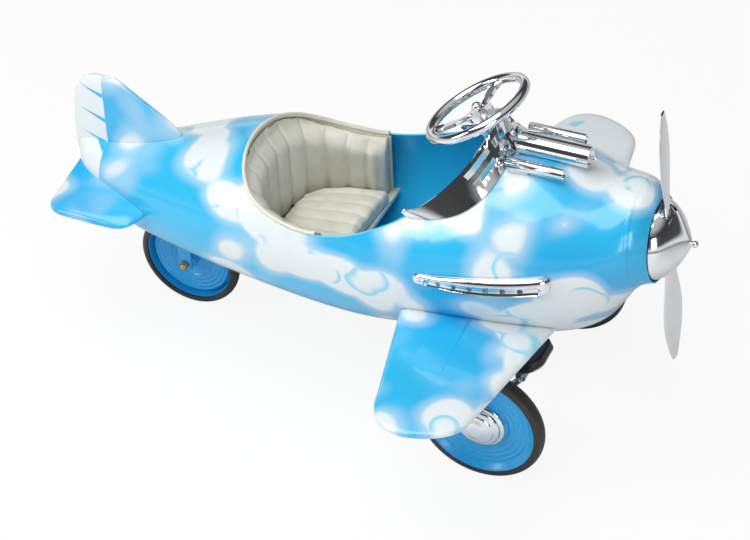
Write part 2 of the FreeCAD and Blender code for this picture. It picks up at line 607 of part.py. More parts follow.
def make_wheel(rim_r, tyre_r, width, y, bore):
    """Pressed disc with its hub, and the tyre, for a wheel whose middle is at y."""
    half = width / 2
    face = disc_profile(rim_r, half)
    back = [(r, d - DISC_SKIN) for r, d in face[:-2]]
    lip = [(rim_r, -half * 0.55), (rim_r - DISC_SKIN, -half * 0.55),
           (rim_r - DISC_SKIN, half * 0.92 - DISC_SKIN), (rim_r * 0.95, half * 0.6 - DISC_SKIN)]
    outline = [V(r, d, 0) for r, d in face + lip + back[::-1]]
    disc = Part.Face(Part.makePolygon(outline + outline[:1])).revolve(ORIGIN, AXIS_Y, 360)
    hub = Part.makeCylinder(HUB_R + 0.5, 2 * HUB_HALF, V(0, -HUB_HALF, 0), AXIS_Y)
    disc = disc.fuse(hub).cut(Part.makeCylinder(bore, 4 * HUB_HALF, V(0, -2 * HUB_HALF, 0), AXIS_Y))
    shoulder = tyre_r - TYRE_CROWN
    a, b = V(rim_r, half * 0.9, 0), V(shoulder, half, 0)
    c, d = V(shoulder, -half, 0), V(rim_r, -half * 0.9, 0)
    edges = [Part.makeLine(a, b), Part.Arc(b, V(tyre_r, 0, 0), c).toShape(),
             Part.makeLine(c, d), Part.makeLine(d, a)]
    tyre = Part.Face(Part.Wire(edges)).revolve(ORIGIN, AXIS_Y, 360)
    disc.translate(V(0, y, 0))
    tyre.translate(V(0, y, 0))
    return disc, tyre


def hub_cap():
    """Stepped dome on the y axis, hollow over the hub."""
    rows = [(0.0, 0.0), (1.0, 0.0), (1.0, 0.14), (0.86, 0.3), (0.84, 0.48), (0.62, 0.74), (0.34, 0.94),
            (0.0, 1.0)]
    outline = [V(CAP_R * r, CAP_HEIGHT * d, 0) for r, d in rows]
    cap = Part.Face(Part.makePolygon(outline + outline[:1])).revolve(ORIGIN, AXIS_Y, 360)
    hollow = Part.makeCylinder(CAP_R - 4, 2.2, ORIGIN, AXIS_Y)
    return cap.cut(hollow.fuse(Part.makeCylinder(HUB_R + 3, CAP_HEIGHT * 0.62, ORIGIN, AXIS_Y)))


def make_front_wheels():
    """The right wheel is fixed on the crank axle and drives; the left one runs free on it."""
    y = TRACK / 2
    for name, side in SIDES.items():
        disc, tyre = make_wheel(RIM_R, WHEEL_R, TYRE_WIDTH, y,
                                AXLE_R + RUN_GAP if side > 0 else AXLE_R)
        cap = hub_cap()
        cap.translate(V(0, y + CAP_SEAT, 0))
        for node, shape in (("wheel_disc", disc), ("tyre", tyre), ("hub_cap", cap)):
            shape.translate(V(0, 0, WHEEL_R))
            parts[name + "_" + node] = on_side(shape, side)


def pin_place(side):
    """Middle of a pedal pin in the side view, as (x, z)."""
    turn = math.radians(CRANK_ANGLE) + (math.pi if side > 0 else 0.0)
    return THROW * math.cos(turn), WHEEL_R + THROW * math.sin(turn)


def make_crank():
    """One bar bent into two pedal pins, with the wheels on its ends."""
    end = TRACK / 2 + HUB_HALF + AXLE_END
    points = [V(0, -end, WHEEL_R)]
    for side, ys in ((-1, (-PIN_OUTER, -PIN_INNER)), (1, (PIN_INNER, PIN_OUTER))):
        x, z = pin_place(side)
        points += [V(0, ys[0], WHEEL_R), V(x, ys[0], z), V(x, ys[1], z), V(0, ys[1], WHEEL_R)]
    points.append(V(0, end, WHEEL_R))
    parts["crank_axle"] = bent_rod(points, AXLE_R)


def make_pedals():
    """Rubber pad on a steel plate, with a tube that turns on the crank pin."""
    inner = PIN_INNER + AXLE_R + SIDE_GAP
    outer = PIN_OUTER - AXLE_R - SIDE_GAP
    middle, half = (inner + outer) / 2, (outer - inner) / 2
    for name, side in SIDES.items():
        x, z = pin_place(side)
        bore = Part.makeCylinder(AXLE_R + RUN_GAP, 4 * half, V(0, -2 * half, 0), AXIS_Y)
        plate = rounded_plate(-PAD_LENGTH / 2, PAD_LENGTH / 2, half, PAD_CORNER,
                              PEDAL_TUBE_R - PEDAL_PLATE, PEDAL_TUBE_R)
        bracket = plate.fuse(Part.makeCylinder(PEDAL_TUBE_R, 2 * half, V(0, -half, 0), AXIS_Y)).cut(bore)
        pad = rounded_plate(-PAD_LENGTH / 2, PAD_LENGTH / 2, half, PAD_CORNER,
                            PEDAL_TUBE_R, PEDAL_TUBE_R + PAD_THICK)
        pad = pad.makeFillet(PAD_EDGE, [e for e in pad.Edges if e.BoundBox.ZMin > PEDAL_TUBE_R + 1
                                        and e.BoundBox.ZLength < 0.1])
        for node, shape in (("pedal_bracket", bracket), ("pedal_pad", pad)):
            shape.rotate(ORIGIN, AXIS_Y, PAD_LEAN)
            shape.translate(V(x, side * middle, z))
            parts[name + "_" + node] = shape


def make_gear(outer):
    """Legs that hang the axle below the wings, with their bushes and bolts."""
    bushes, bolts = [], []
    left_wing = parts["left_wing"]
    top = WING_Z - WING[0][4]
    leg = extrude([V(-LEG_TOP_HALF, LEG_Y, top - 4), V(-LEG_BOSS_R * 0.95, LEG_Y, WHEEL_R),
                   V(LEG_BOSS_R * 0.95, LEG_Y, WHEEL_R), V(LEG_TOP_HALF, LEG_Y, top - 4)],
                  V(0, LEG_THICK, 0))
    boss = Part.makeCylinder(LEG_BOSS_R, LEG_THICK, V(0, LEG_Y, WHEEL_R), AXIS_Y)
    foot = Part.makeBox(2 * LEG_TOP_HALF, LEG_FOOT, 10.0, V(-LEG_TOP_HALF, LEG_Y, top - 4))
    hole = Part.makeCylinder(BUSH_R, 20, V(0, LEG_Y - 5, WHEEL_R), AXIS_Y)
    leg = leg.fuse([boss, foot]).cut(hole).cut(left_wing)
    bush = ring_y(BUSH_R, AXLE_R + RUN_GAP, LEG_Y + LEG_THICK / 2 - BUSH_HALF,
                  LEG_Y + LEG_THICK / 2 + BUSH_HALF, 0.0, WHEEL_R)
    for x in (-LEG_TOP_HALF * 0.6, LEG_TOP_HALF * 0.6):
        place = V(x, LEG_Y + LEG_FOOT * 0.6, top - 4)
        bolt = hex_head(LEG_BOLT_R * 1.8, 4.0, place, AXIS_Z * -1)
        bolt = bolt.fuse(Part.makeCylinder(LEG_BOLT_R, 14.0, place))
        bolts.append(bolt)
        hole = Part.makeCylinder(LEG_BOLT_R, 14.0, place)
        leg = leg.cut(hole)
        left_wing = left_wing.cut(hole)
    leg = max(leg.Solids, key=lambda s: s.Volume)
    for name, side in SIDES.items():
        parts[name + "_gear_leg"] = on_side(leg, side)
        parts[name + "_wing"] = on_side(left_wing, side)
        bushes.append(on_side(bush, side))
    parts["axle_bushes"] = Part.makeCompound(bushes)
    parts["leg_bolts"] = Part.makeCompound(bolts + [mirrored(b) for b in bolts])


def column_axis():
    rake = math.radians(WHEEL_RAKE)
    return V(-math.cos(rake), 0, math.sin(rake))


def on_column(shape):
    """Move a shape drawn about the z axis onto the steering axis, with z = 0 at the wheel."""
    return aimed(shape, V(WHEEL_X, 0, WHEEL_Z), column_axis())


def column_drop():
    """Distance down the column from the wheel to the cowl skin."""
    low, high = 0.0, COLUMN_LENGTH
    while high - low > 0.01:
        middle = (low + high) / 2
        place = V(WHEEL_X, 0, WHEEL_Z) - column_axis() * middle
        if place.z > skin_top(place.x, 0.0):
            low = middle
        else:
            high = middle
    return low


def spoke(angle):
    """Spoke that widens in steps towards the rim and rises from the dropped hub."""
    reach = STEER_R - STEER_RIM_R * 0.3
    steps = [(0.14, 0.5), (0.5, 0.5), (0.54, 0.72), (0.72, 0.72), (0.78, 1.0), (1.0, 1.15)]
    edge = [V(reach * r, SPOKE_WIDTH * w / 2, -SPOKE_THICK / 2) for r, w in steps]
    points = edge + [V(p.x, -p.y, p.z) for p in edge[::-1]]
    arm = extrude(points, V(0, 0, SPOKE_THICK))
    arm.rotate(ORIGIN, AXIS_Y, -math.degrees(math.atan2(STEER_HUB_DROP, reach)))
    arm.translate(V(0, 0, -STEER_HUB_DROP))
    arm.rotate(ORIGIN, AXIS_Z, angle)
    return arm


def make_steering(outer):
    hub_top = -STEER_HUB_DROP + SPOKE_THICK / 2 + 1
    hub = Part.makeCylinder(STEER_HUB_R, SPOKE_THICK + 2, V(0, 0, hub_top - SPOKE_THICK - 2))
    wheel = Part.makeTorus(STEER_R, STEER_RIM_R).fuse([hub] + [spoke(a) for a in SPOKE_ANGLES])
    wheel = wheel.cut(Part.makeCylinder(COLUMN_R, 60, V(0, 0, -40)))
    parts["steering_wheel"] = on_column(wheel)
    nut_place = V(WHEEL_X, 0, WHEEL_Z) + column_axis() * hub_top
    parts["wheel_nut"] = acorn_nut(WHEEL_NUT_R, WHEEL_NUT_R * 1.3, COLUMN_R, nut_place, column_axis())
    top = hub_top + WHEEL_NUT_R * 0.6
    parts["steering_shaft"] = on_column(Part.makeCylinder(COLUMN_R, COLUMN_LENGTH + top,
                                                          V(0, 0, -COLUMN_LENGTH)))
    drop = column_drop()
    sleeve = Part.makeCylinder(COLUMN_BUSH_R, 30, V(0, 0, -drop - 16))
    flange = Part.makeCylinder(COLUMN_BUSH_R + 7, 24, V(0, 0, -drop - 12))
    bore = Part.makeCylinder(COLUMN_R + RUN_GAP, 80, V(0, 0, -drop - 40))
    bush = on_column(flange).cut(outer).fuse(on_column(sleeve)).cut(on_column(bore))
    parts["column_bush"] = bush
    hole = on_column(Part.makeCylinder(COLUMN_BUSH_R, 60, V(0, 0, -drop - 30)))
    parts["body_shell"] = parts["body_shell"].cut(hole)
    low = BRACKET_UP - COLUMN_LENGTH
    strap = Part.makeBox(2 * BRACKET_HALF, 500, BRACKET_THICK, V(-BRACKET_HALF, -250, low))
    boss = Part.makeCylinder(COLUMN_BUSH_R, 16, V(0, 0, low - 8 + BRACKET_THICK / 2))
    strap = strap.fuse(boss).cut(Part.makeCylinder(COLUMN_R + RUN_GAP, 80, V(0, 0, low - 40)))
    parts["column_bracket"] = on_column(strap).common(fuselage_solid(SKIN))


def make_linkage():
    """Arm at the foot of the column, and the rod from it to the tail fork."""
    foot = -COLUMN_LENGTH
    arm = Part.makeCylinder(ARM_BOSS_R, ARM_HEIGHT, V(0, 0, foot))
    bar = Part.makeBox(2 * ARM_HALF, PITMAN_ARM, ARM_THICK, V(-ARM_HALF, -PITMAN_ARM, foot + ARM_THICK))
    end = Part.makeCylinder(ARM_HALF, ARM_THICK, V(0, -PITMAN_ARM, foot + ARM_THICK))
    pin = Part.makeCylinder(PIN_R, PIN_REACH + ARM_THICK, V(0, -PITMAN_ARM, foot - PIN_REACH))
    arm = arm.fuse([bar, end, pin]).cut(Part.makeCylinder(COLUMN_R, ARM_HEIGHT, V(0, 0, foot)))
    parts["pitman_arm"] = on_column(arm)
    loop = Part.makeCylinder(ROD_LOOP_R, 2 * ROD_R, V(0, LOOP_SHIFT - PITMAN_ARM, foot - LOOP_DROP - ROD_R))
    hole = Part.makeCylinder(LOOP_BORE, 2 * ROD_R, V(0, LOOP_SHIFT - PITMAN_ARM, foot - LOOP_DROP - ROD_R))
    loop = on_column(loop.cut(hole))
    axis = column_axis()
    across = V(axis.z, 0, -axis.x)
    centre = V(WHEEL_X, LOOP_SHIFT - PITMAN_ARM, WHEEL_Z) + axis * (foot - LOOP_DROP)
    start = centre - across * ((ROD_LOOP_R + LOOP_BORE) / 2)
    eye_z = TILLER_Z + TILLER_THICK + ROD_CLEAR + ROD_R
    eye = V(-WHEELBASE, TILLER_ARM, eye_z)
    route = [start] + [V(*p) for p in ROD_ROUTE] + [eye + V(60, -7, 0), eye + V(8, -1, 0)]
    rod = bent_rod(route, ROD_R).fuse([loop, Part.makeCylinder(ROD_EYE_R, 2 * ROD_R, eye - V(0, 0, ROD_R))])
    parts["drag_rod"] = rod.cut(Part.makeCylinder(PIN_R + RUN_GAP, 4 * ROD_R, eye - V(0, 0, 2 * ROD_R)))


def make_tail_gear():
    """Swivelling fork with the tail wheel, in a bush that the carrier holds."""
    axle_z = WHEEL_R + TAIL_AXLE_RISE
    top = axle_z + TAIL_R + CROWN_GAP
    outer_y = FORK_INNER + FORK_THICK
    blades = []
    for side in (-1, 1):
        y = FORK_INNER if side > 0 else -outer_y
        plate = extrude([V(-FORK_HALF, y, axle_z), V(FORK_HALF, y, axle_z), V(FORK_HALF, y, top),
                         V(-FORK_HALF, y, top)], V(0, FORK_THICK, 0))
        blades += [plate, Part.makeCylinder(FORK_HALF, FORK_THICK, V(0, y, axle_z), AXIS_Y)]
    crown = Part.makeBox(2 * FORK_HALF, 2 * outer_y, TILLER_Z - top, V(-FORK_HALF, -outer_y, top))
    tiller = Part.makeBox(2 * FORK_HALF * 0.6, TILLER_ARM, TILLER_THICK,
                          V(-FORK_HALF * 0.6, 0, TILLER_Z))
    tip = Part.makeCylinder(FORK_HALF * 0.6, TILLER_THICK, V(0, TILLER_ARM, TILLER_Z))
    pin = Part.makeCylinder(PIN_R, TILLER_THICK + 2 * ROD_R + 4, V(0, TILLER_ARM, TILLER_Z))
    shoulder_top = KINGPIN_BUSH_Z - SIDE_GAP
    shoulder = Part.makeCylinder(KINGPIN_BUSH_R, shoulder_top - TILLER_Z, V(0, 0, TILLER_Z))
    kingpin = Part.makeCylinder(KINGPIN_R, KINGPIN_TOP - TILLER_Z, V(0, 0, TILLER_Z))
    fork = blades[0].fuse(blades[1:] + [crown, tiller, tip, pin, shoulder, kingpin])
    axle_len = 2 * (outer_y + TAIL_NUT_HEIGHT * 0.5)
    axle = Part.makeCylinder(TAIL_AXLE_R, axle_len, V(0, -axle_len / 2, axle_z), AXIS_Y)
    fork = fork.cut(axle).removeSplitter()
    disc, tyre = make_wheel(TAIL_RIM_R, TAIL_R, TAIL_TYRE_WIDTH, 0.0, TAIL_AXLE_R + RUN_GAP)
    nuts = [acorn_nut(TAIL_NUT_R, TAIL_NUT_HEIGHT, TAIL_AXLE_R, V(0, side * outer_y, axle_z),
                      AXIS_Y * side) for side in (-1, 1)]
    bush = Part.makeCylinder(KINGPIN_BUSH_R, KINGPIN_BUSH_TOP - KINGPIN_BUSH_Z, V(0, 0, KINGPIN_BUSH_Z))
    bush = bush.cut(Part.makeCylinder(KINGPIN_R + RUN_GAP, 100, V(0, 0, KINGPIN_BUSH_Z - 10)))
    nut = hex_head(KINGPIN_R * 1.8, 8.0, V(0, 0, KINGPIN_BUSH_TOP + SIDE_GAP), AXIS_Z)
    nut = nut.cut(Part.makeCylinder(KINGPIN_R, 100, V(0, 0, TILLER_Z)))
    plate = Part.makeBox(2 * CARRIER_HALF, 500, CARRIER_THICK, V(-CARRIER_HALF, -250, CARRIER_Z))
    plate = plate.cut(Part.makeCylinder(KINGPIN_BUSH_R, 40, V(0, 0, CARRIER_Z - 20)))
    pieces = {"rear_fork": fork, "tail_axle": axle, "tail_wheel_disc": disc, "tail_tyre": tyre,
              "tail_axle_nuts": Part.makeCompound(nuts), "kingpin_bush": bush, "fork_nut": nut,
              "tail_carrier": plate}
    for shape in (disc, tyre):
        shape.translate(V(0, 0, axle_z))
    for node, shape in pieces.items():
        shape.translate(V(-WHEELBASE, 0, 0))
        parts[node] = shape
    parts["tail_carrier"] = parts["tail_carrier"].common(fuselage_solid(SKIN))


def seat_level(x, drop=0.0):
    """Height of the top of the seat cushion at x, less a drop."""
    return SEAT_Z + SEAT_SLOPE * (x - SEAT_MIDDLE) - drop


def seat_slab(x0, x1, top_drop, bottom_drop):
    """Slab across the plane between two depths below the seat's top."""
    return extrude([V(x0, -250, seat_level(x0, top_drop)), V(x1, -250, seat_level(x1, top_drop)),
                    V(x1, -250, seat_level(x1, bottom_drop)), V(x0, -250, seat_level(x0, bottom_drop))],
                   V(0, 500, 0))


def back_arcs(inset, z):
    """Half oval around the back of the seat, left to right, at height z."""
    centre = V(BACK_FRONT, 0, z)
    left, rear = V(0, BACK_HALF - inset, 0), V(inset - BACK_LENGTH, 0, 0)
    return [quarter(centre, left, rear, BACK_FULLNESS), quarter(centre, rear, left * -1, BACK_FULLNESS)]


def back_block(inset, z0, z1):
    arcs = back_arcs(inset, z0)
    half = BACK_HALF - inset
    arcs.append(Part.makeLine(V(BACK_FRONT, -half, z0), V(BACK_FRONT, half, z0)))
    return Part.Face(Part.Wire(arcs)).extrude(V(0, 0, z1 - z0))


def back_ring(outer, inner, z):
    """Plan of the back cushion at z: smooth outside, a round channel between each two seams inside."""
    seams = Part.Wire(back_arcs(inner, z)).discretize(Number=BACK_CHANNELS + 1)
    edges = back_arcs(outer, z)
    edges.append(Part.makeLine(V(BACK_FRONT, outer - BACK_HALF, z), seams[-1]))
    for a, b in zip(seams[::-1], seams[-2::-1]):
        inward = (b - a).cross(AXIS_Z)
        inward.normalize()
        if inward.dot(V(BACK_FRONT, 0, z) - a) < 0:
            inward = inward * -1
        edges.append(Part.Arc(a, (a + b) / 2 + inward * CHANNEL_BULGE, b).toShape())
    edges.append(Part.makeLine(seams[0], V(BACK_FRONT, BACK_HALF - outer, z)))
    return Part.Wire(edges)


def seat_half(x):
    """Half width of the seat cushion inside the back cushion at x."""
    inset = PANEL_THICK + 2 * CUSHION_GAP + BACK_THICK + CHANNEL_BULGE + CUSHION_SIDE_GAP
    reach = BACK_LENGTH - inset
    share = min(max((BACK_FRONT - x) / reach, 0.0), 1.0)
    return (BACK_HALF - inset) * (1 - share ** 3) ** (1 / 3), BACK_FRONT - reach


def seat_ring(x, tuck):
    """Section across the seat cushion: round channels on top, drawn-in sides, flat below."""
    half = seat_half(x)[0] - tuck
    low = seat_level(x, SEAT_THICK) + tuck * 0.5
    high = seat_level(x, SEAT_CROWN) - tuck
    seams = []
    for k in range(SEAT_CHANNELS + 1):
        y = half * (2 * k / SEAT_CHANNELS - 1)
        seams.append(V(x, y, high + (SEAT_CROWN - CHANNEL_BULGE) * (1 - (y / half) ** 2)))
    edges = [Part.Arc(a, (a + b) / 2 + V(0, 0, CHANNEL_BULGE), b).toShape()
             for a, b in zip(seams, seams[1:])]
    foot = V(x, half - SIDE_DRAW, low)
    belly = V(x, half + SIDE_DRAW / 2, (low + high) / 2)
    edges += [Part.Arc(seams[-1], belly, foot).toShape(),
              Part.makeLine(foot, V(x, -foot.y, low)),
              Part.Arc(V(x, -foot.y, low), V(x, -belly.y, belly.z), seams[0]).toShape()]
    return Part.Wire(edges)


def make_seat():
    inner = fuselage_solid(SKIN)
    rear = BACK_FRONT - BACK_LENGTH - 3
    top = SEAT_THICK + CUSHION_GAP
    pan = seat_slab(rear, SEAT_FRONT, top, top + PAN_THICK)
    lip = Part.makeBox(PAN_THICK, 500, PAN_LIP, V(SEAT_FRONT - PAN_THICK, -250,
                                                  seat_level(SEAT_FRONT, top + PAN_LIP)))
    parts["seat_pan"] = pan.fuse(lip).common(inner).removeSplitter()
    space = seat_slab(rear - 10, BACK_FRONT, -300, top).cut(rim_cutter())
    z0, z1 = 200.0, 500.0
    panel = back_block(0.0, z0, z1).cut(back_block(PANEL_THICK, z0 - 1, z1 + 1))
    parts["seat_back_panel"] = panel.common(space).common(inner)
    outer = PANEL_THICK + CUSHION_GAP
    full = outer + BACK_THICK
    rings = [back_ring(outer, full - SIDE_DRAW, seat_level(SEAT_MIDDLE, SEAT_THICK + 30)),
             back_ring(outer, full, seat_level(SEAT_MIDDLE, 0)), back_ring(outer, full, z1)]
    cushion = Part.makeLoft(rings, True, True)
    space = seat_slab(rear - 10, BACK_FRONT + 1, -300, top - CUSHION_GAP).cut(rim_cutter(CUSHION_GAP))
    parts["back_cushion"] = max(cushion.common(space).common(fuselage_solid(SKIN + CUSHION_GAP)).Solids,
                                key=lambda s: s.Volume)
    rear = seat_half(SEAT_FRONT)[1]
    xs = [(rear + 6, 3.0), (rear + 16, 0.5)]
    span = SEAT_FRONT - 7 - (rear + 16)
    xs += [(rear + 16 + span * share, 0.0) for share in (0.2, 0.5, 0.8, 1.0)]
    xs.append((SEAT_FRONT, 5.0))
    parts["seat_cushion"] = Part.makeLoft([seat_ring(x, tuck) for x, tuck in xs], True, True)
    band = fuselage_solid(-PIPING_OUT).cut(fuselage_solid(SKIN + PIPING_IN))
    strip = rim_cutter().cut(rim_cutter(-PIPING_HEIGHT))
    strip = strip.common(Part.makeBox(400, 500, 400, V(PIPING_FRONT - 400, -250, 200)))
    parts["rim_piping"] = max(band.common(strip).Solids, key=lambda s: s.Volume)


def stand():
    """Turn the plane until the tail wheel is on the ground, and put the origin at mid length."""
    tip = (math.atan2(TAIL_AXLE_RISE, WHEELBASE)
           + math.asin((WHEEL_R - TAIL_R) / math.hypot(WHEELBASE, TAIL_AXLE_RISE)))
    for shape in parts.values():
        shape.rotate(V(0, 0, WHEEL_R), AXIS_Y, -math.degrees(tip))
    ends = [parts[name].optimalBoundingBox(True, False) for name in ENDS]
    middle = (min(box.XMin for box in ends) + max(box.XMax for box in ends)) / 2
    for shape in parts.values():
        shape.translate(V(-middle, 0, 0))
    print("nose up by", round(tip, 6), "rad, middle at", round(middle, 3))


def build():
    outer = outer_skin()
    make_fuselage(outer)
    make_tail_and_wings(outer)
    make_vents(outer)
    make_arch(outer)
    make_guns(outer)
    make_propeller()
    make_front_wheels()
    make_crank()
    make_pedals()
    make_gear(outer)
    make_steering(outer)
    make_linkage()
    make_tail_gear()
    make_seat()
    stand()


build()
os.makedirs("parts", exist_ok=True)
for name, shape in parts.items():
    shape.exportStep("parts/%s.step" % name)
    print(name, len(shape.Solids), shape.isValid(), round(shape.Volume / 1000, 1))
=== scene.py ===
"""Looks of the pedal plane: airbrushed sky paint, bright trim, rubber and a cream leather seat.

Pieces are made in the plane's level frame (millimetres, x forward from the front axle, y to the
left, z up from the ground below that axle) and brought to the scene by to_scene().
"""

import math

import bmesh
import bpy
import numpy as np
from mathutils import Matrix, Vector


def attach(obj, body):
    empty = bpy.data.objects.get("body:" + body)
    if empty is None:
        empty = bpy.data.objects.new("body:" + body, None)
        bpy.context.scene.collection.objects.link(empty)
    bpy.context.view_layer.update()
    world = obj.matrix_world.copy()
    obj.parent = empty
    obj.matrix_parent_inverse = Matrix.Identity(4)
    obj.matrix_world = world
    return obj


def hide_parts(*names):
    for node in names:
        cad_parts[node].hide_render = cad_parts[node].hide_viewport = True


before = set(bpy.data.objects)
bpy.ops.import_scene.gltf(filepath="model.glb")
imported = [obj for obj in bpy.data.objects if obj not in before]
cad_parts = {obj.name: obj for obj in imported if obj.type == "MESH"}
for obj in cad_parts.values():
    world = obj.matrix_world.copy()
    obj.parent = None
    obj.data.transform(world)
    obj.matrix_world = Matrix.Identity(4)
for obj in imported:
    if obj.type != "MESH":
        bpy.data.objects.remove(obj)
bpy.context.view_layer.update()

# The level frame, in millimetres and radians
NOSE_UP = 0.030122
MIDDLE_X = -295.495
WHEEL_R, TYRE_WIDTH, RIM_R = 115.0, 28.0, 100.0
TAIL_R, TAIL_TYRE_WIDTH, TAIL_RIM_R = 99.0, 27.0, 86.0
TAIL_AXLE = (-664.0, 0.0, 119.0)
TRACK = 410.0
HUB_R, HUB_HALF = 17.0, 17.0
AXLE_R, TAIL_AXLE_R = 6.0, 5.0
CAP_R, CAP_HEIGHT, CAP_SEAT = 46.0, 19.0, 7.5
HUB = (250.0, 0.0, 426.5)
NOSE_TILT = math.radians(5.0)

# Fuselage sections: x, half width, height of the widest line, rise above it, drop below it
STATIONS = np.array([
    (-868.0, 9.0, 300.0, 52.0, 42.0),
    (-800.0, 62.0, 288.0, 72.0, 78.0),
    (-700.0, 101.0, 290.0, 93.0, 101.0),
    (-600.0, 135.0, 303.0, 116.0, 119.0),
    (-500.0, 156.0, 316.0, 136.0, 140.0),
    (-400.0, 164.0, 321.0, 157.0, 160.0),
    (-300.0, 170.0, 324.0, 163.0, 170.0),
    (-200.0, 176.0, 333.0, 160.0, 169.0),
    (-100.0, 179.0, 354.0, 156.0, 162.0),
    (0.0, 174.0, 372.0, 169.0, 159.0),
    (90.0, 153.0, 386.0, 152.0, 163.0),
    (170.0, 119.0, 405.0, 116.0, 125.0),
    (236.0, 73.0, 424.5, 73.0, 73.0),
])

# Cockpit rim in side view: x and height, back to front
RIM = np.array([
    (-507.0, 459.0), (-499.0, 447.0), (-477.0, 426.0), (-445.0, 405.0), (-400.0, 390.0),
    (-345.0, 384.0), (-300.0, 390.0), (-260.0, 401.0), (-220.0, 418.0), (-180.0, 439.0),
    (-140.0, 466.0), (-110.0, 488.0), (-85.0, 512.0), (-66.0, 545.0),
])
PIPING_FRONT = -316.0

# Seat
SEAT_CHANNELS, BACK_CHANNELS = 8, 13
BACK_FRONT, BACK_LENGTH, BACK_HALF, BACK_FULLNESS = -312.0, 189.0, 148.0, 1.5
BACK_INSET = 26.0       # back cushion's inner face, from the panel
SEAT_INSET = 31.0       # seat cushion's side, from the panel
PANEL_INSET = 2.0       # back cushion's outer face, from the panel
BACK_THINNING, BACK_TOP = 0.72, 34.0    # share lost at the rim, over this height
SEAM_DEEP, SEAM_WIDE = 3.2, 2.6
PAD_PRESSURE, PAD_RISE, PAD_SHRINK = 4.0, 0.004, 0.0015

# CAD copies: points closer than this, in metres, are one; edges turn sharp above this angle
CAD_WELD, CAD_SHARP = 2e-6, 28.0

# Colours, linear
SKY = (0.032, 0.470, 0.790, 1)
SKY_DEEP = (0.014, 0.370, 0.720, 1)
CLOUD = (0.76, 0.81, 0.82, 1)
CLOUD_EDGE = (0.12, 0.60, 0.82, 1)
DISC_BLUE = (0.016, 0.380, 0.760, 1)
BRIGHT = (0.83, 0.85, 0.87, 1)
CREAM = (0.74, 0.73, 0.63, 1)
# darker cream: greyer worn patches, and painted shade along the leather's wrinkles
CREAM_WORN_AND_SHADE = (0.46, 0.44, 0.34, 1)
TYRE_DARK = (0.022, 0.019, 0.017, 1)
TYRE_WORN = (0.060, 0.048, 0.040, 1)
PAD_BLACK = (0.014, 0.014, 0.015, 1)
STEEL = (0.42, 0.43, 0.45, 1)
BRONZE = (0.50, 0.34, 0.16, 1)
WHITE = (1, 1, 1, 1)


# ---------------------------------------------------------------- places

def to_scene(points):
    """Level frame to scene: turned nose-up about the front axle, then moved, in metres."""
    p = np.asarray(points, float)
    c, s = math.cos(NOSE_UP), math.sin(NOSE_UP)
    x, z = p[..., 0], p[..., 2] - WHEEL_R
    return np.stack([x * c - z * s - MIDDLE_X, p[..., 1], x * s + z * c + WHEEL_R], -1) / 1000


def to_level(points):
    """Scene to level frame, the way back."""
    p = np.asarray(points, float) * 1000
    c, s = math.cos(NOSE_UP), math.sin(NOSE_UP)
    x, z = p[..., 0] + MIDDLE_X, p[..., 2] - WHEEL_R
    return np.stack([x * c + z * s, p[..., 1], z * c - x * s + WHEEL_R], -1)


def section(x):
    """Half width, middle height, rise and drop of the fuselage at x: a cubic between each two
    stations, whose slope at a station is that of the line through its neighbours."""
    t = STATIONS[:, 0]
    x = np.clip(x, t[0], t[-1])
    i = np.clip(np.searchsorted(t, x, side="right") - 1, 0, len(t) - 2)
    before, after = np.maximum(np.arange(len(t)) - 1, 0), np.minimum(np.arange(len(t)) + 1, len(t) - 1)
    slopes = (STATIONS[after] - STATIONS[before]) / (t[after] - t[before])[:, None]
    span = (t[i + 1] - t[i])[..., None]
    u = (x - t[i])[..., None] / span
    a, b = STATIONS[i], STATIONS[i + 1]
    value = ((1 + 2 * u) * (1 - u) ** 2 * a + u * (1 - u) ** 2 * span * slopes[i]
             + u * u * (3 - 2 * u) * b + u * u * (u - 1) * span * slopes[i + 1])
    return value[..., 1], value[..., 2], value[..., 3], value[..., 4]


def back_oval(inset, count=400):
    """Points along the horseshoe of the seat's back in plan, left to right: a conic quarter with
    poles at its side, its corner and its rear, and the mirror image of it."""
    t = np.linspace(0, 1, count)[:, None]
    side, rear = np.array([0.0, BACK_HALF - inset]), np.array([inset - BACK_LENGTH, 0.0])
    weight = 2 * t * (1 - t) * BACK_FULLNESS
    quarter = (((1 - t) ** 2 * side + weight * (side + rear) + t ** 2 * rear)
               / ((1 - t) ** 2 + weight + t ** 2))
    mirror = quarter[::-1][1:] * np.array([1.0, -1.0])
    return np.concatenate([quarter, mirror]) + np.array([BACK_FRONT, 0.0])


def rim_side(count=500):
    """Left half of the cockpit rim, back to front: points, outward normals of the skin, and the
    directions that rise from the rim within the skin. In side view the rim runs through RIM with
    the slope of each point's neighbours; its width is the fuselage's at that height. The points
    crowd towards the back, where the rim turns across the plane."""
    place = np.linspace(0, 1, count) ** 2 * (len(RIM) - 1)
    i = np.clip(place.astype(int), 0, len(RIM) - 2)
    u = (place - i)[:, None]
    slopes = (RIM[np.minimum(np.arange(len(RIM)) + 1, len(RIM) - 1)]
              - RIM[np.maximum(np.arange(len(RIM)) - 1, 0)]) / 2
    line = ((1 + 2 * u) * (1 - u) ** 2 * RIM[i] + u * (1 - u) ** 2 * slopes[i]
            + u * u * (3 - 2 * u) * RIM[i + 1] + u * u * (u - 1) * slopes[i + 1])
    half, middle, rise, drop = section(line[:, 0])
    height = line[:, 1] - middle
    y = half * np.sqrt(np.clip(1 - (height / rise) ** 2, 0, None))
    points = np.stack([line[:, 0], y, line[:, 1]], 1)
    out = np.stack([0 * y, y / half ** 2, height / rise ** 2], 1)
    out /= np.linalg.norm(out, axis=1, keepdims=True)
    along = np.gradient(points, axis=0)
    along /= np.linalg.norm(along, axis=1, keepdims=True)
    up = np.cross(out, along)
    up /= np.linalg.norm(up, axis=1, keepdims=True)
    open_side = up[:, 2] * along[:, 0] - up[:, 0] * along[:, 2]
    return points, out, up * np.sign(open_side[:, None])


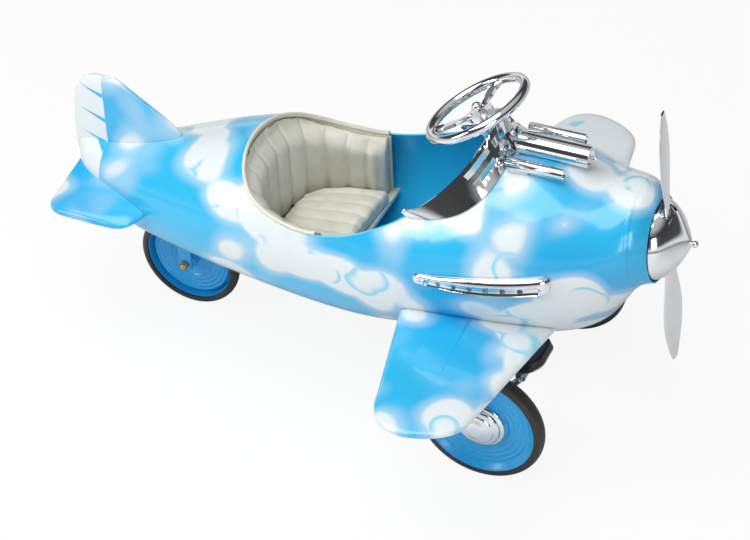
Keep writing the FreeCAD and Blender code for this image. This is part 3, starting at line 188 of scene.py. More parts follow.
def both_sides(arrays):
    """Join the mirrored right half to the left one at the back."""
    flip = np.array([1.0, -1.0, 1.0])
    return [np.concatenate([(a * flip)[::-1], a[1:]]) for a in arrays]


def evenly(arrays, step):
    """The same line with points about a step apart."""
    gone = np.concatenate([[0], np.cumsum(np.linalg.norm(np.diff(arrays[0], axis=0), axis=1))])
    marks = np.linspace(0, gone[-1], max(int(gone[-1] / step), 8))
    found = [np.stack([np.interp(marks, gone, a[:, k]) for k in range(3)], 1) for a in arrays]
    return [found[0]] + [a / np.linalg.norm(a, axis=1, keepdims=True) for a in found[1:]]


# ---------------------------------------------------------------- materials

class Value:
    """An output socket that can be calculated with: each operator adds a Math node."""

    def __init__(self, finish, socket):
        self.finish, self.socket = finish, socket

    def math(self, operation, *others):
        return self.finish.add("Math", dict(enumerate((self,) + others)), operation=operation)

    def __add__(self, other):
        return self.math("ADD", other)

    def __mul__(self, other):
        return self.math("MULTIPLY", other)

    __radd__ = __add__
    __rmul__ = __mul__

    def __sub__(self, other):
        return self.math("SUBTRACT", other)

    def __rsub__(self, other):
        return self.finish.add("Math", {0: other, 1: self}, operation="SUBTRACT")

    def __truediv__(self, other):
        return self.math("DIVIDE", other)

    def __pow__(self, other):
        return self.math("POWER", other)

    def sin(self):
        return self.math("SINE")

    def abs(self):
        return self.math("ABSOLUTE")

    def most(self, other):
        return self.math("MAXIMUM", other)

    def between(self, low, high):
        """0 below low, 1 above high, smooth in between; falls where low is above high."""
        flip = low > high
        inputs = {"Value": self, "From Min": min(low, high), "From Max": max(low, high),
                  "To Min": 1.0 if flip else 0.0, "To Max": 0.0 if flip else 1.0}
        return self.finish.add("MapRange", inputs, interpolation_type="SMOOTHSTEP")

    def split(self):
        """The three parts of a vector."""
        node = self.finish.nodes.new("ShaderNodeSeparateXYZ")
        self.finish.feed(node.inputs[0], self)
        return [Value(self.finish, out) for out in node.outputs]


class Finish:
    """One material: a Principled surface and the nodes that vary it."""

    def __init__(self, name, **constants):
        self.material = bpy.data.materials.new(name)
        self.material.use_nodes = True
        self.nodes = self.material.node_tree.nodes
        self.surface = next(n for n in self.nodes if n.type == "BSDF_PRINCIPLED")
        self.set(**constants)

    def feed(self, socket, value):
        if isinstance(value, Value):
            self.material.node_tree.links.new(value.socket, socket)
        else:
            socket.default_value = value

    def add(self, kind, inputs=None, output=0, **settings):
        node = self.nodes.new("ShaderNode" + kind)
        for key, value in settings.items():
            setattr(node, key, value)
        for key, value in (inputs or {}).items():
            self.feed(node.inputs[key], value)
        return Value(self, node.outputs[output])

    def place(self, move=(0, 0, 0), scale=(1, 1, 1)):
        """Object coordinates, moved so that the given place is the origin."""
        coordinates = self.add("TexCoord", output="Object")
        shifted = self.add("VectorMath", {0: coordinates, 1: tuple(move)}, operation="SUBTRACT")
        return self.stretched(shifted, scale)

    def noise(self, vector, scale, detail=3.0, roughness=0.5, distortion=0.0):
        return self.add("TexNoise", {"Vector": vector, "Scale": scale, "Detail": detail,
                                     "Roughness": roughness, "Distortion": distortion})

    def mix(self, share, a, b):
        """Colour a where share is 0, b where it is 1."""
        return self.add("Mix", {0: share, 6: a, 7: b}, output=2, data_type="RGBA")

    def shift(self, vector, by, amount):
        """The vector moved by a colour or vector times an amount."""
        scaled = self.add("VectorMath", {0: by, "Scale": amount}, operation="SCALE")
        return self.add("VectorMath", {0: vector, 1: scaled}, operation="ADD")

    def stretched(self, vector, scale):
        return self.add("Mapping", {"Vector": vector, "Scale": scale})

    def bump(self, height, distance, strength=1.0):
        normal = self.add("Bump", {"Height": height, "Distance": distance, "Strength": strength})
        self.feed(self.surface.inputs["Normal"], normal)

    def set(self, **sockets):
        for key, value in sockets.items():
            name = key.replace("_", " ").title().replace("Ior", "IOR")
            self.feed(self.surface.inputs[name], value)


def airbrushed(finish, where):
    """Sky blue with white clouds. A cloud is a bank (slow noise) whose edge is scalloped by round
    puffs: a cell's centre raises the bank, its border lowers it. A second, smaller set of puffs
    gives the broken cyan line that runs inside the edge."""
    drift = finish.add("TexNoise", {"Vector": where, "Scale": 5.0, "Detail": 1.0}, output="Color")
    warped = finish.shift(where, drift, 0.05)
    bank = finish.noise(finish.stretched(where, (0.75, 0.9, 1.25)), 5.2, 1.0, 0.4)
    puffs = finish.add("TexVoronoi", {"Vector": warped, "Scale": 11.0, "Smoothness": 0.20},
                       feature="SMOOTH_F1")
    small = finish.add("TexVoronoi", {"Vector": warped, "Scale": 15.0, "Smoothness": 0.12},
                       feature="SMOOTH_F1")
    body = bank + (0.40 - puffs) * 0.30
    inner = bank + (0.42 - small) * 0.26
    cloud = body.between(0.495, 0.535)
    haze = body.between(0.400, 0.530) * 0.45
    broken = finish.noise(where, 13.0, 2.0).between(0.46, 0.56)
    line = inner.between(0.560, 0.572) * inner.between(0.612, 0.580) * broken
    blend = finish.noise(where, 2.3, 1.0)
    sky = finish.mix(blend.between(0.35, 0.7), SKY, SKY_DEEP)
    sky = finish.mix(haze, sky, CLOUD)
    sky = finish.mix(cloud * 0.95, sky, CLOUD)
    return finish.mix(line * 0.7 * cloud, sky, CLOUD_EDGE)


def sky_paint(name="sky_paint", tail=False):
    """Gloss paint with faint orange peel; on the body also a pressed crease round the nose, and a
    white tail end with three tapering slashes."""
    finish = Finish(name, coat_weight=0.35, coat_roughness=0.04)
    colour = airbrushed(finish, finish.place(move=(0.3, 0.1, 0.2)))
    peel = finish.noise(finish.place(), 260.0, 2.0) * 0.04
    if tail:
        x, y, z = finish.place(move=tuple(to_scene((-800.0, 0.0, 440.0)))).split()
        rear = (x + z * 0.03).between(0.0, -0.0012)
        slope = z + x * 0.32
        bands = None
        for height in (0.013, -0.038, -0.087):
            thick = 0.0048 + x * 0.095
            band = ((slope - height).abs() - thick).between(0.0008, -0.0008)
            bands = band if bands is None else bands.most(band)
        colour = finish.mix(rear, colour, CLOUD)
        colour = finish.mix(rear * bands, colour, SKY)
        x, y, z = finish.place(move=tuple(to_scene((206.0, 0.0, 448.0)))).split()
        crease = (x + z * 0.14).abs().between(0.005, 0.0)
        peel = peel + crease
    smudge = finish.noise(finish.place(), 9.0, 4.0, 0.6)
    finish.set(base_color=colour, roughness=smudge * 0.10 + 0.13)
    finish.bump(peel, 0.0014, 0.5)
    return finish.material


def plain_paint(name, colour, dark, roughness=0.2):
    """Gloss paint of one colour, a little darker in slow patches."""
    finish = Finish(name, coat_weight=0.2, coat_roughness=0.06)
    cloudy = finish.noise(finish.place(), 6.0, 4.0, 0.6)
    finish.set(base_color=finish.mix(cloudy.between(0.35, 0.75) * 0.5, colour, dark),
               roughness=cloudy * 0.16 + roughness - 0.05)
    finish.bump(finish.noise(finish.place(), 240.0, 2.0), 0.00006, 0.3)
    return finish.material


def bright_plate():
    """Chrome on pressed sheet: mirror-like, with slow ripples, fine polishing marks and smudges."""
    finish = Finish("bright_plate", metallic=1.0)
    smudge = finish.noise(finish.place(), 14.0, 5.0, 0.65)
    colour = finish.mix(smudge.between(0.45, 0.8) * 0.35, BRIGHT, (0.62, 0.63, 0.64, 1))
    finish.set(base_color=colour, roughness=smudge.between(0.3, 0.9) * 0.13 + 0.035)
    slow = finish.noise(finish.place(), 22.0, 1.0)
    fine = finish.noise(finish.place(scale=(1, 1, 8)), 120.0, 2.0)
    finish.bump(slow + fine * 0.06, 0.00005, 0.6)
    return finish.material


def bare_steel(name="bare_steel", colour=STEEL, rough=0.34):
    """Brushed metal with darker stains."""
    finish = Finish(name, metallic=1.0)
    stain = finish.noise(finish.place(), 18.0, 5.0, 0.65)
    dark = tuple(c * 0.55 for c in colour[:3]) + (1,)
    finish.set(base_color=finish.mix(stain.between(0.45, 0.75), colour, dark),
               roughness=stain * 0.25 + rough - 0.1)
    finish.bump(finish.noise(finish.place(scale=(1, 1, 5)), 300.0, 3.0), 0.00008, 0.5)
    return finish.material


def tyre_rubber(name, centre, inner, outer):
    """Black rubber, browned with age, with moulded rings on its sides and dust in them."""
    finish = Finish(name)
    x, y, z = finish.place(move=tuple(to_scene(centre))).split()
    radius = (x * x + z * z) ** 0.5
    share = (radius - inner / 1000) / ((outer - inner) / 1000)
    rings = (share * 26.0).sin()        # four rings across the wall
    grain = finish.noise(finish.place(), 160.0, 4.0, 0.6)
    dust = finish.noise(finish.place(), 12.0, 4.0, 0.6).between(0.4, 0.75)
    finish.set(base_color=finish.mix(dust * 0.6, TYRE_DARK, TYRE_WORN), roughness=grain * 0.25 + 0.38)
    finish.bump(rings * 0.7 + grain * 0.3, 0.0005, 0.55)
    return finish.material


def pad_rubber():
    """Black pedal rubber with grey scuffs."""
    finish = Finish("pad_rubber")
    grain = finish.noise(finish.place(), 220.0, 4.0, 0.6)
    scuff = finish.noise(finish.place(), 24.0, 5.0, 0.7).between(0.5, 0.75)
    finish.set(base_color=finish.mix(scuff * 0.5, PAD_BLACK, (0.05, 0.05, 0.052, 1)),
               roughness=grain * 0.2 + 0.34)
    finish.bump(grain, 0.0003, 0.5)
    return finish.material


def cream_leather():
    """Grained leather, greyer where it is handled, with soft wrinkles across the channels that are
    darkened in colour as painted shade.
    """
    finish = Finish("cream_leather", specular_ior_level=0.42)
    where = finish.place()
    grain = finish.add("TexVoronoi", {"Vector": where, "Scale": 620.0}, feature="DISTANCE_TO_EDGE")
    wrinkle = finish.noise(finish.place(scale=(1.0, 2.2, 1.0)), 38.0, 4.0, 0.6, 0.5)
    tone = finish.noise(where, 11.0, 3.0, 0.6)
    colour = finish.mix(tone.between(0.40, 0.78) * 0.42, CREAM, CREAM_WORN_AND_SHADE)
    # painted shade: the wrinkles darkened in colour
    colour = finish.mix(wrinkle.between(0.56, 0.74) * 0.25, colour, CREAM_WORN_AND_SHADE)
    finish.set(base_color=colour, roughness=tone * 0.20 + 0.34)
    finish.bump(grain.between(0.0, 0.10) * 0.25 + wrinkle, 0.0006, 0.45)
    return finish.material


# ---------------------------------------------------------------- pieces

def settle(obj, body, material, nodes=()):
    """Give a piece its body, material and slot, and hide the CAD nodes that it stands for."""
    obj.data.materials.clear()
    obj.data.materials.append(material)
    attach(obj, body)
    if nodes:
        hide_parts(*nodes)
    return obj


def link(name, mesh):
    obj = bpy.data.objects.new(name, mesh)
    bpy.context.scene.collection.objects.link(obj)
    return obj


def grid(name, points, wrap_u=False, wrap_v=False):
    """Mesh on a grid of points (u by v), joined round in u or v where that is asked for."""
    nu, nv = points.shape[:2]
    index = np.arange(nu * nv).reshape(nu, nv)
    if wrap_u:
        index = np.concatenate([index, index[:1]])
    if wrap_v:
        index = np.concatenate([index, index[:, :1]], 1)
    corners = [index[:-1, :-1], index[1:, :-1], index[1:, 1:], index[:-1, 1:]]
    faces = np.stack(corners, -1).reshape(-1, 4)
    mesh = bpy.data.meshes.new(name)
    mesh.from_pydata(points.reshape(-1, 3).tolist(), [], faces.tolist())
    weld(mesh, 1e-6, outward=True)
    return link(name, mesh)


def weld(mesh, reach, outward=False):
    """Merge points within reach of each other, point the faces outwards if asked, shade smooth."""
    work = bmesh.new()
    work.from_mesh(mesh)
    bmesh.ops.remove_doubles(work, verts=work.verts, dist=reach)
    if outward:
        bmesh.ops.recalc_face_normals(work, faces=work.faces)
    work.to_mesh(mesh)
    work.free()
    mesh.shade_smooth()


def sharpen(obj, degrees):
    """Mark the edges as sharp where the surface turns by more than an angle."""
    obj.data.set_sharp_from_angle(angle=math.radians(degrees))


def revolved(name, profile, centre, side=1, turns=128, sharp=30.0):
    """A closed outline of (radius, distance out) carried round an axle along y."""
    angle = np.linspace(0, 2 * np.pi, turns, endpoint=False)[:, None]
    radius, out = profile[:, 0][None], profile[:, 1][None] * side
    points = np.stack([centre[0] + radius * np.cos(angle), centre[1] + out + 0 * angle,
                       centre[2] + radius * np.sin(angle)], -1)
    obj = grid(name, to_scene(points), wrap_u=True, wrap_v=True)
    sharpen(obj, sharp)
    return obj


def fine_copy(node):
    """A welded, smoothly shaded copy of a CAD node."""
    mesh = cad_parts[node].data.copy()
    mesh.name = node + "_fine"
    weld(mesh, CAD_WELD)
    obj = link(node + "_fine", mesh)
    sharpen(obj, CAD_SHARP)
    return obj


def disc_outline(rim_r, half):
    """Outline of a pressed wheel disc: a hub boss, a dish with four raised rings, and the rim."""
    r = np.linspace(HUB_R, rim_r, 150)
    dish = np.interp(r, [HUB_R, HUB_R + 12, HUB_R + 26, rim_r * 0.5, rim_r * 0.88, rim_r * 0.95, rim_r],
                     [6.0, 7.0, 5.0, 2.0, 2.0, half * 0.6, half * 0.92])
    soft = np.convolve(np.pad(dish, 4, mode="edge"), np.ones(9) / 9, "valid")
    phase = np.clip((r - rim_r * 0.5) / (rim_r * 0.38), 0, 1)
    rings = 1.8 * np.sin(np.pi * 4 * phase) ** 2
    outer = np.stack([r, soft + rings], 1)
    inner = outer[::-1] - np.array([0.0, 2.0])
    lip = np.array([(rim_r, -half * 0.55), (rim_r - 2, -half * 0.55)])
    inner[:6, 0] = np.minimum(inner[:6, 0], rim_r - 2)
    return np.concatenate([outer, lip, inner])


def hub_outline(bore):
    return np.array([(bore, -HUB_HALF), (HUB_R - 1, -HUB_HALF), (HUB_R, -HUB_HALF + 1),
                     (HUB_R, HUB_HALF - 1), (HUB_R - 1, HUB_HALF), (bore, HUB_HALF)])


def tyre_outline(inner, outer, width):
    """Rounded tread on a slightly swollen wall: an oval squared by a power of 0.75."""
    t = np.linspace(-np.pi / 2, np.pi / 2, 40)
    half = width / 2
    middle = outer - 11.0
    crown = np.stack([middle + 11.0 * np.sign(np.cos(t)) * np.abs(np.cos(t)) ** 0.75,
                      half * np.sin(t)], 1)
    return np.concatenate([[(inner, -half * 0.9)], crown, [(inner, half * 0.9)]])


def cap_outline():
    """Stepped dome: three flats joined by short round risers, thin enough to clear the hub."""
    rows = [(1.0, 0.0), (1.0, 0.12), (0.965, 0.20), (0.87, 0.28), (0.845, 0.46), (0.80, 0.55),
            (0.66, 0.66), (0.635, 0.78), (0.58, 0.84), (0.40, 0.90), (0.37, 0.97), (0.20, 1.0),
            (0.0, 1.0), (0.0, 0.66), (0.44, 0.64), (0.46, 0.1), (0.93, 0.1), (0.93, 0.0)]
    return np.array(rows) * np.array([CAP_R, CAP_HEIGHT])


def wheels(materials):
    """Discs, hubs, tyres and caps as turned outlines; the tail wheel has no cap."""
    for name, body, centre, side, sizes in (
            ("left", "left_wheel", (0.0, TRACK / 2, WHEEL_R), 1, (RIM_R, WHEEL_R, TYRE_WIDTH)),
            ("right", "crank", (0.0, -TRACK / 2, WHEEL_R), -1, (RIM_R, WHEEL_R, TYRE_WIDTH)),
            ("tail", "tail_wheel", TAIL_AXLE, 1, (TAIL_RIM_R, TAIL_R, TAIL_TYRE_WIDTH))):
        rim_r, tyre_r, width = sizes
        disc = revolved(name + "_disc_face", disc_outline(rim_r, width / 2), centre, side)
        settle(disc, body, materials["disc"], [name + "_wheel_disc"])
        hub = revolved(name + "_hub", hub_outline(TAIL_AXLE_R if name == "tail" else AXLE_R), centre)
        settle(hub, body, materials["disc"])
        rubber = tyre_rubber(name + "_tyre_rubber", centre, rim_r, tyre_r)
        tyre = revolved(name + "_tyre_ring", tyre_outline(rim_r, tyre_r, width), centre)
        settle(tyre, body, rubber, [name + "_tyre"])
        if name != "tail":
            seat = (centre[0], centre[1] + side * CAP_SEAT, centre[2])
            cap = revolved(name + "_cap", cap_outline(), seat, side, sharp=40.0)
            settle(cap, body, materials["bright"], [name + "_hub_cap"])


def swept(name, line, out, up, profile):
    """A closed profile of (outwards, upwards) carried along a line, with its ends closed."""
    rows = line[:, None] + out[:, None] * profile[None, :, :1] + up[:, None] * profile[None, :, 1:]
    rows = np.concatenate([rows[:1].mean(1, keepdims=True) + 0 * rows[:1], rows,
                           rows[-1:].mean(1, keepdims=True) + 0 * rows[-1:]])
    obj = grid(name, to_scene(rows), wrap_v=True)
    sharpen(obj, 50)
    return obj


def spinner_drum(bright):
    """Drum that the blades come out of, a millimetre inside the spinner: a closed outline of
    (radius, distance) turned about the propeller's axis."""
    rows = np.array([(6.0, -12.0), (64.5, -12.0), (62.5, -7.0), (57.6, 0.3), (50.2, 8.1), (48.0, 10.0),
                     (6.0, 10.0)])
    turn = np.linspace(0, 2 * np.pi, 96, endpoint=False)[:, None]
    across, rise, along = rows[:, 0] * np.cos(turn), rows[:, 0] * np.sin(turn), rows[:, 1] + 0 * turn
    c, s = math.cos(NOSE_TILT), math.sin(NOSE_TILT)
    points = np.stack([HUB[0] + along * c - rise * s, across, HUB[2] + along * s + rise * c], -1)
    obj = grid("spinner_drum", to_scene(points), wrap_u=True, wrap_v=True)
    sharpen(obj, 40)
    settle(obj, "propeller", bright)


def piping(leather):
    """Double welt on the rim round the seat: two round lobes with a stitched valley between."""
    line, out, up = both_sides(rim_side())
    keep = line[:, 0] < PIPING_FRONT
    line, out, up = evenly([a[keep] for a in (line, out, up)], 3.0)
    t = np.linspace(0, 2 * np.pi, 64, endpoint=False)
    wide = -2.0 + 4.1 * np.cos(t)
    lobes = 1.0 - 0.34 * np.exp(-((wide + 2.0) / 0.9) ** 2)
    tall = 3.6 + np.where(np.sin(t) > 0, 3.6 * lobes, 3.2) * np.sin(t)
    obj = swept("double_welt", line, out, up, np.stack([wide, tall], 1))
    settle(obj, "plane", leather, ["rim_piping"])


def rolled_rim(paint):
    """Rolled edge of the sheet along the open part of the rim, 1.7 mm in radius, in a blue lighter than
    the sky paint: a painted highlight along the edge.
    """
    line, out, up = rim_side()
    keep = (line[:, 0] > PIPING_FRONT) & (line[:, 0] < RIM[-1, 0] - 1)
    t = np.linspace(0, 2 * np.pi, 12, endpoint=False)
    profile = np.stack([-1.0 + 1.7 * np.cos(t), 1.7 * np.sin(t) - 0.3], 1)
    flip = np.array([1.0, -1.0, 1.0])
    for name, way in (("left", np.ones(3)), ("right", flip)):
        parts = evenly([a[keep] * way for a in (line, out, up)], 4.0)
        settle(swept(name + "_rolled_rim", *parts, profile), "plane", paint)


def inflate(obj, voxel):
    """Pad a closed form as cloth: drawn in a little, remeshed, blown up, and held to a limit."""
    work = bmesh.new()
    work.from_mesh(obj.data)
    bmesh.ops.remove_doubles(work, verts=work.verts, dist=CAD_WELD)
    work.normal_update()
    for v in work.verts:
        v.co -= v.normal * PAD_SHRINK
    work.to_mesh(obj.data)
    work.free()
    remesh = obj.modifiers.new("remesh", "REMESH")
    remesh.mode = "VOXEL"
    remesh.voxel_size = voxel
    replace_mesh(obj)
    start = read(obj.data.vertices, "co")
    cloth = obj.modifiers.new("cloth", "CLOTH")
    cloth.settings.use_pressure = True
    cloth.settings.uniform_pressure_force = PAD_PRESSURE
    cloth.settings.effector_weights.gravity = 0
    cloth.settings.tension_stiffness = 20
    cloth.settings.bending_stiffness = 2
    cloth.point_cache.frame_start, cloth.point_cache.frame_end = 1, 20
    for step in range(1, 21):
        bpy.context.scene.frame_set(step)
    replace_mesh(obj)
    bpy.context.scene.frame_set(1)
    move = read(obj.data.vertices, "co") - start
    length = np.linalg.norm(move, axis=1, keepdims=True)
    move *= np.minimum(1.0, PAD_RISE / np.maximum(length, 1e-9))
    place_points(obj, start + move)
    refine = obj.modifiers.new("refine", "SUBSURF")
    refine.levels = refine.render_levels = 1
    replace_mesh(obj)
    obj.data.update()


def replace_mesh(obj):
    """Apply all modifiers."""
    graph = bpy.context.evaluated_depsgraph_get()
    mesh = bpy.data.meshes.new_from_object(obj.evaluated_get(graph))
    obj.modifiers.clear()
    old = obj.data
    obj.data = mesh
    bpy.data.meshes.remove(old)


def read(items, what):
    """One vector of each point or face, as rows."""
    values = np.zeros(len(items) * 3)
    items.foreach_get(what, values)
    return values.reshape(-1, 3)


def place_points(obj, points):
    obj.data.vertices.foreach_set("co", points.ravel())
    obj.data.update()


def press(obj, depth):
    """Move each point inwards along its normal by its own depth, in millimetres."""
    inwards = -read(obj.data.vertices, "normal")
    place_points(obj, read(obj.data.vertices, "co") + inwards * depth[:, None] / 1000)
    obj.data.shade_smooth()


def seam_depth(place, count, pitch):
    """Groove at each whole number of channels but the two ends: a sharp middle with soft flanks,
    an exponential of the distance to the power 1.3. place runs from 0 to count."""
    gap = np.abs(place - np.round(place)) * pitch
    inside = (place > 0.3) & (place < count - 0.3)
    return np.where(inside, SEAM_DEEP * np.exp(-(gap / SEAM_WIDE) ** 1.3), 0.0)


def seat_cushion(leather):
    """The padded seat, with channels that run fore and aft and close up towards its rounded rear."""
    obj = fine_copy("seat_cushion")
    inflate(obj, 0.0045)
    level = to_level(read(obj.data.vertices, "co"))
    reach = BACK_LENGTH - SEAT_INSET
    share = np.clip((BACK_FRONT - level[:, 0]) / reach, 0, 0.97)
    half = (BACK_HALF - SEAT_INSET) * (1 - share ** 3) ** (1 / 3)
    place = (level[:, 1] / half + 1) * SEAT_CHANNELS / 2
    up = read(obj.data.vertices, "normal")[:, 2]
    face = np.clip((up - 0.1) / 0.4, 0, 1)      # only where it looks up
    press(obj, seam_depth(place, SEAT_CHANNELS, 2 * half / SEAT_CHANNELS) * face)
    obj.name = "channelled_seat"
    settle(obj, "plane", leather, ["seat_cushion"])


def back_cushion(leather):
    """The padded back: held below the rim and within the sheet, thinner in its top 34 mm by the
    square of the height, with its channels pressed in."""
    obj = fine_copy("back_cushion")
    inflate(obj, 0.005)
    level = to_level(read(obj.data.vertices, "co"))
    rim = rim_side()[0]
    low_end = np.clip((level[:, 0] + 326.0) / 14.0, 0, 1) * 8.0
    rim_height = np.interp(level[:, 0], rim[:, 0], rim[:, 2])
    level[:, 2] = np.minimum(level[:, 2], rim_height + 1.0 - low_end)
    outer = back_oval(PANEL_INSET)[::2]
    seat = outer[np.argmin(((level[:, None, :2] - outer[None]) ** 2).sum(2), 1)]
    rise = np.clip((level[:, 2] - rim_height) / BACK_TOP + 1, 0, 1)
    level[:, :2] = seat + (level[:, :2] - seat) * (1 - BACK_THINNING * rise ** 2)[:, None]
    half, middle, rise, drop = section(level[:, 0])
    height = level[:, 2] - middle
    reach = np.where(height > 0, rise, drop)
    share = np.hypot(level[:, 1] / (half - 2.2), height / (reach - 2.2))
    shrink = np.maximum(share, 1.0)
    level[:, 1] /= shrink
    level[:, 2] = middle + height / shrink
    place_points(obj, to_scene(level))
    line = back_oval(BACK_INSET)
    steps = np.linalg.norm(np.diff(line, axis=0), axis=1)
    along = np.concatenate([[0], np.cumsum(steps)])
    nearest = np.argmin(((level[:, None, :2] - line[None, ::2]) ** 2).sum(2), 1) * 2
    place = along[nearest] / along[-1] * BACK_CHANNELS
    towards = np.array([BACK_FRONT - 20.0, 0.0]) - level[:, :2]
    towards /= np.linalg.norm(towards, axis=1, keepdims=True)
    facing = (read(obj.data.vertices, "normal")[:, :2] * towards).sum(1)
    face = np.clip((facing - 0.1) / 0.4, 0, 1)  # only where it looks at the sitter
    press(obj, seam_depth(place, BACK_CHANNELS, along[-1] / BACK_CHANNELS) * face)
    obj.name = "channelled_back"
    settle(obj, "plane", leather, ["back_cushion"])


FINE = {
    "plane": {
        "body": ["tail_fin"],
        "sky": ["left_wing", "right_wing", "left_tailplane", "right_tailplane"],
        "inside": ["nose_bulkhead", "column_bracket", "tail_carrier"],
        "disc": ["left_gear_leg", "right_gear_leg"],
        "bright": ["left_side_vent", "right_side_vent", "vent_screws", "windscreen_arch",
                   "arch_screws", "centre_gun", "left_gun", "right_gun", "column_bush"],
        "bronze": ["prop_bush", "axle_bushes", "kingpin_bush"],
        "steel": ["leg_bolts"],
        "leather": ["seat_back_panel", "seat_pan"],
    },
    "propeller": {"bright": ["propeller", "spinner"],
                  "steel": ["prop_shaft", "prop_nut", "prop_collar"]},
    "crank": {"steel": ["crank_axle"]},
    "left_pedal": {"steel": ["left_pedal_bracket"], "pad": ["left_pedal_pad"]},
    "right_pedal": {"steel": ["right_pedal_bracket"], "pad": ["right_pedal_pad"]},
    "steering": {"bright": ["steering_wheel", "wheel_nut"], "steel": ["steering_shaft", "pitman_arm"]},
    "fork": {"disc": ["rear_fork"], "steel": ["tail_axle", "fork_nut"], "bronze": ["tail_axle_nuts"]},
    "rod": {"steel": ["drag_rod"]},
}


def fine_nodes(materials):
    """Pieces whose own CAD shape is fine enough: a smooth copy with its finish."""
    for body, groups in FINE.items():
        for finish, nodes in groups.items():
            for node in nodes:
                settle(fine_copy(node), body, materials[finish], [node])


def fuselage(materials):
    """The shell, with its inner skin in plain blue: a face is inside where it looks towards the
    middle line of the fuselage."""
    obj = fine_copy("body_shell")
    settle(obj, "plane", materials["body"], ["body_shell"])
    obj.data.materials.append(materials["inside"])
    level = to_level(read(obj.data.polygons, "center"))
    facing = read(obj.data.polygons, "normal")
    half, middle, rise, drop = section(level[:, 0])
    height = level[:, 2] - middle
    reach = np.where(height > 0, rise, drop)
    outward = facing[:, 1] * level[:, 1] / half ** 2 + facing[:, 2] * height / reach ** 2
    obj.data.polygons.foreach_set("material_index", (outward < -0.0015).astype(np.int32))


# ---------------------------------------------------------------- studio

def camera():
    """Camera at the photograph's angle, from one fit to its wheels, wing and rims."""
    azimuth, elevation, roll = math.radians(25.265), math.radians(40.212), -0.021744
    distance, focal = 3.8947, 2201.0
    target = Vector((0.0077, 0.0, 0.1933))
    back = Vector((math.sin(azimuth) * math.cos(elevation),
                   -math.cos(azimuth) * math.cos(elevation), math.sin(elevation)))
    right = (-back).cross(Vector((0, 0, 1))).normalized()
    up = right.cross(-back)
    turned = right * math.cos(roll) + up * math.sin(roll)
    upright = up * math.cos(roll) - right * math.sin(roll)
    data = bpy.data.cameras.new("camera")
    data.sensor_width = 36.0
    data.lens = focal * 36.0 / 750
    obj = bpy.data.objects.new("camera", data)
    bpy.context.scene.collection.objects.link(obj)
    obj.matrix_world = Matrix((
        (turned.x, upright.x, back.x, target.x + back.x * distance),
        (turned.y, upright.y, back.y, target.y + back.y * distance),
        (turned.z, upright.z, back.z, target.z + back.z * distance),
        (0, 0, 0, 1)))
    bpy.context.scene.camera = obj


def lamp(name, place, aim, size, power):
    data = bpy.data.lights.new(name, "AREA")
    data.shape = "RECTANGLE"
    data.size, data.size_y = size
    data.energy = power
    obj = bpy.data.objects.new(name, data)
    bpy.context.scene.collection.objects.link(obj)
    obj.location = place
    obj.rotation_euler = (Vector(aim) - Vector(place)).to_track_quat("-Z", "Y").to_euler()


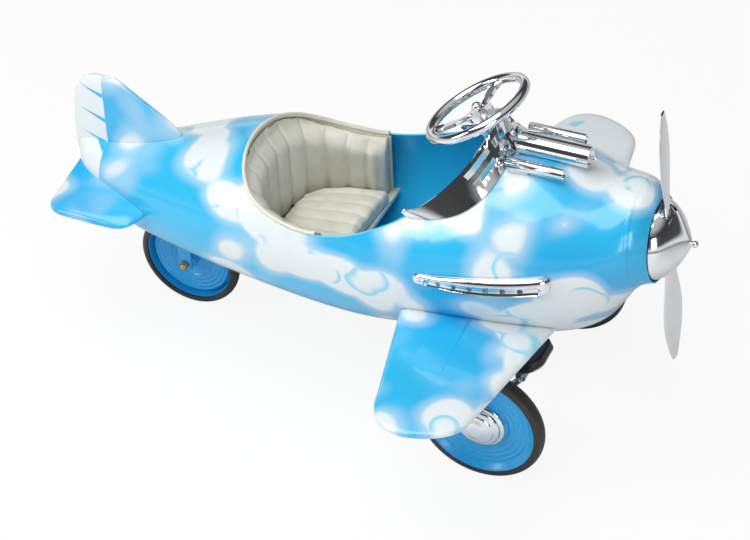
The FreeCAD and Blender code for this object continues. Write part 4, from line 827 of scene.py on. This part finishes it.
def studio():
    """Pale floor, three soft boxes, and a room that is white to the camera."""
    mesh = bpy.data.meshes.new("floor")
    mesh.from_pydata([(-9, -9, 0), (9, -9, 0), (9, 9, 0), (-9, 9, 0)], [], [(0, 1, 2, 3)])
    floor = link("floor", mesh)
    pale = Finish("pale_floor", roughness=0.7, base_color=(0.86, 0.86, 0.86, 1))
    glow = pale.add("Emission", {"Color": WHITE, "Strength": 1.0})
    path = pale.add("LightPath", output="Is Camera Ray")
    share = pale.add("MixShader", {0: path * 0.9, 2: glow})
    pale.material.node_tree.links.new(pale.surface.outputs[0], share.socket.node.inputs[1])
    out = next(n for n in pale.nodes if n.type == "OUTPUT_MATERIAL")
    pale.material.node_tree.links.new(share.socket, out.inputs[0])
    mesh.materials.append(pale.material)
    lamp("soft_box_above", (-0.5, -0.7, 3.0), (0, 0, 0.2), (3.2, 1.8), 60)
    lamp("soft_box_left", (-2.6, -2.4, 2.1), (0, 0, 0.3), (1.4, 1.8), 50)
    lamp("soft_box_front", (2.6, -2.6, 1.5), (0.1, 0, 0.3), (1.2, 1.6), 34)
    world = bpy.data.worlds.new("room")
    bpy.context.scene.world = world
    world.use_nodes = True
    nodes, links = world.node_tree.nodes, world.node_tree.links
    background = nodes["Background"]
    rays = nodes.new("ShaderNodeLightPath")
    where = nodes.new("ShaderNodeTexCoord")
    parts = nodes.new("ShaderNodeSeparateXYZ")
    ramp = nodes.new("ShaderNodeValToRGB")
    shift = nodes.new("ShaderNodeMath")
    mix = nodes.new("ShaderNodeMix")
    mix.data_type = "RGBA"
    shift.operation = "MULTIPLY_ADD"
    shift.inputs[1].default_value = shift.inputs[2].default_value = 0.5
    links.new(where.outputs["Generated"], parts.inputs[0])
    links.new(parts.outputs["Z"], shift.inputs[0])
    links.new(shift.outputs[0], ramp.inputs[0])
    stops = ((0.0, 0.8), (0.52, 0.8), (0.57, 0.07), (0.80, 0.05), (0.90, 0.5), (1.0, 0.6))
    elements = ramp.color_ramp.elements
    while len(elements) < len(stops):
        elements.new(0.5)
    for element, (position, grey) in zip(elements, stops):
        element.position = position
        element.color = (grey, grey, grey, 1)
    links.new(rays.outputs["Is Camera Ray"], mix.inputs[0])
    links.new(ramp.outputs[0], mix.inputs[6])
    mix.inputs[7].default_value = WHITE
    links.new(mix.outputs[2], background.inputs[0])
    background.inputs[1].default_value = 1.0
    bpy.context.scene.view_settings.view_transform = "Standard"


def main():
    materials = {
        "sky": sky_paint(),
        "body": sky_paint("body_paint", tail=True),
        "inside": plain_paint("inside_paint", (0.022, 0.500, 0.860, 1), (0.014, 0.44, 0.80, 1)),
        # rolled rim's paint: lighter than the sky blue, a painted highlight along the rim's edge
        "rim": plain_paint("rim_highlight_paint", (0.10, 0.60, 0.85, 1), SKY),
        "disc": plain_paint("wheel_paint", DISC_BLUE, (0.010, 0.22, 0.56, 1), 0.26),
        "bright": bright_plate(),
        "steel": bare_steel(),
        "bronze": bare_steel("bronze", BRONZE, 0.4),
        "leather": cream_leather(),
        "pad": pad_rubber(),
    }
    camera()
    studio()
    fuselage(materials)
    fine_nodes(materials)
    wheels(materials)
    spinner_drum(materials["bright"])
    piping(materials["leather"])
    rolled_rim(materials["rim"])
    seat_cushion(materials["leather"])
    back_cushion(materials["leather"])


main()
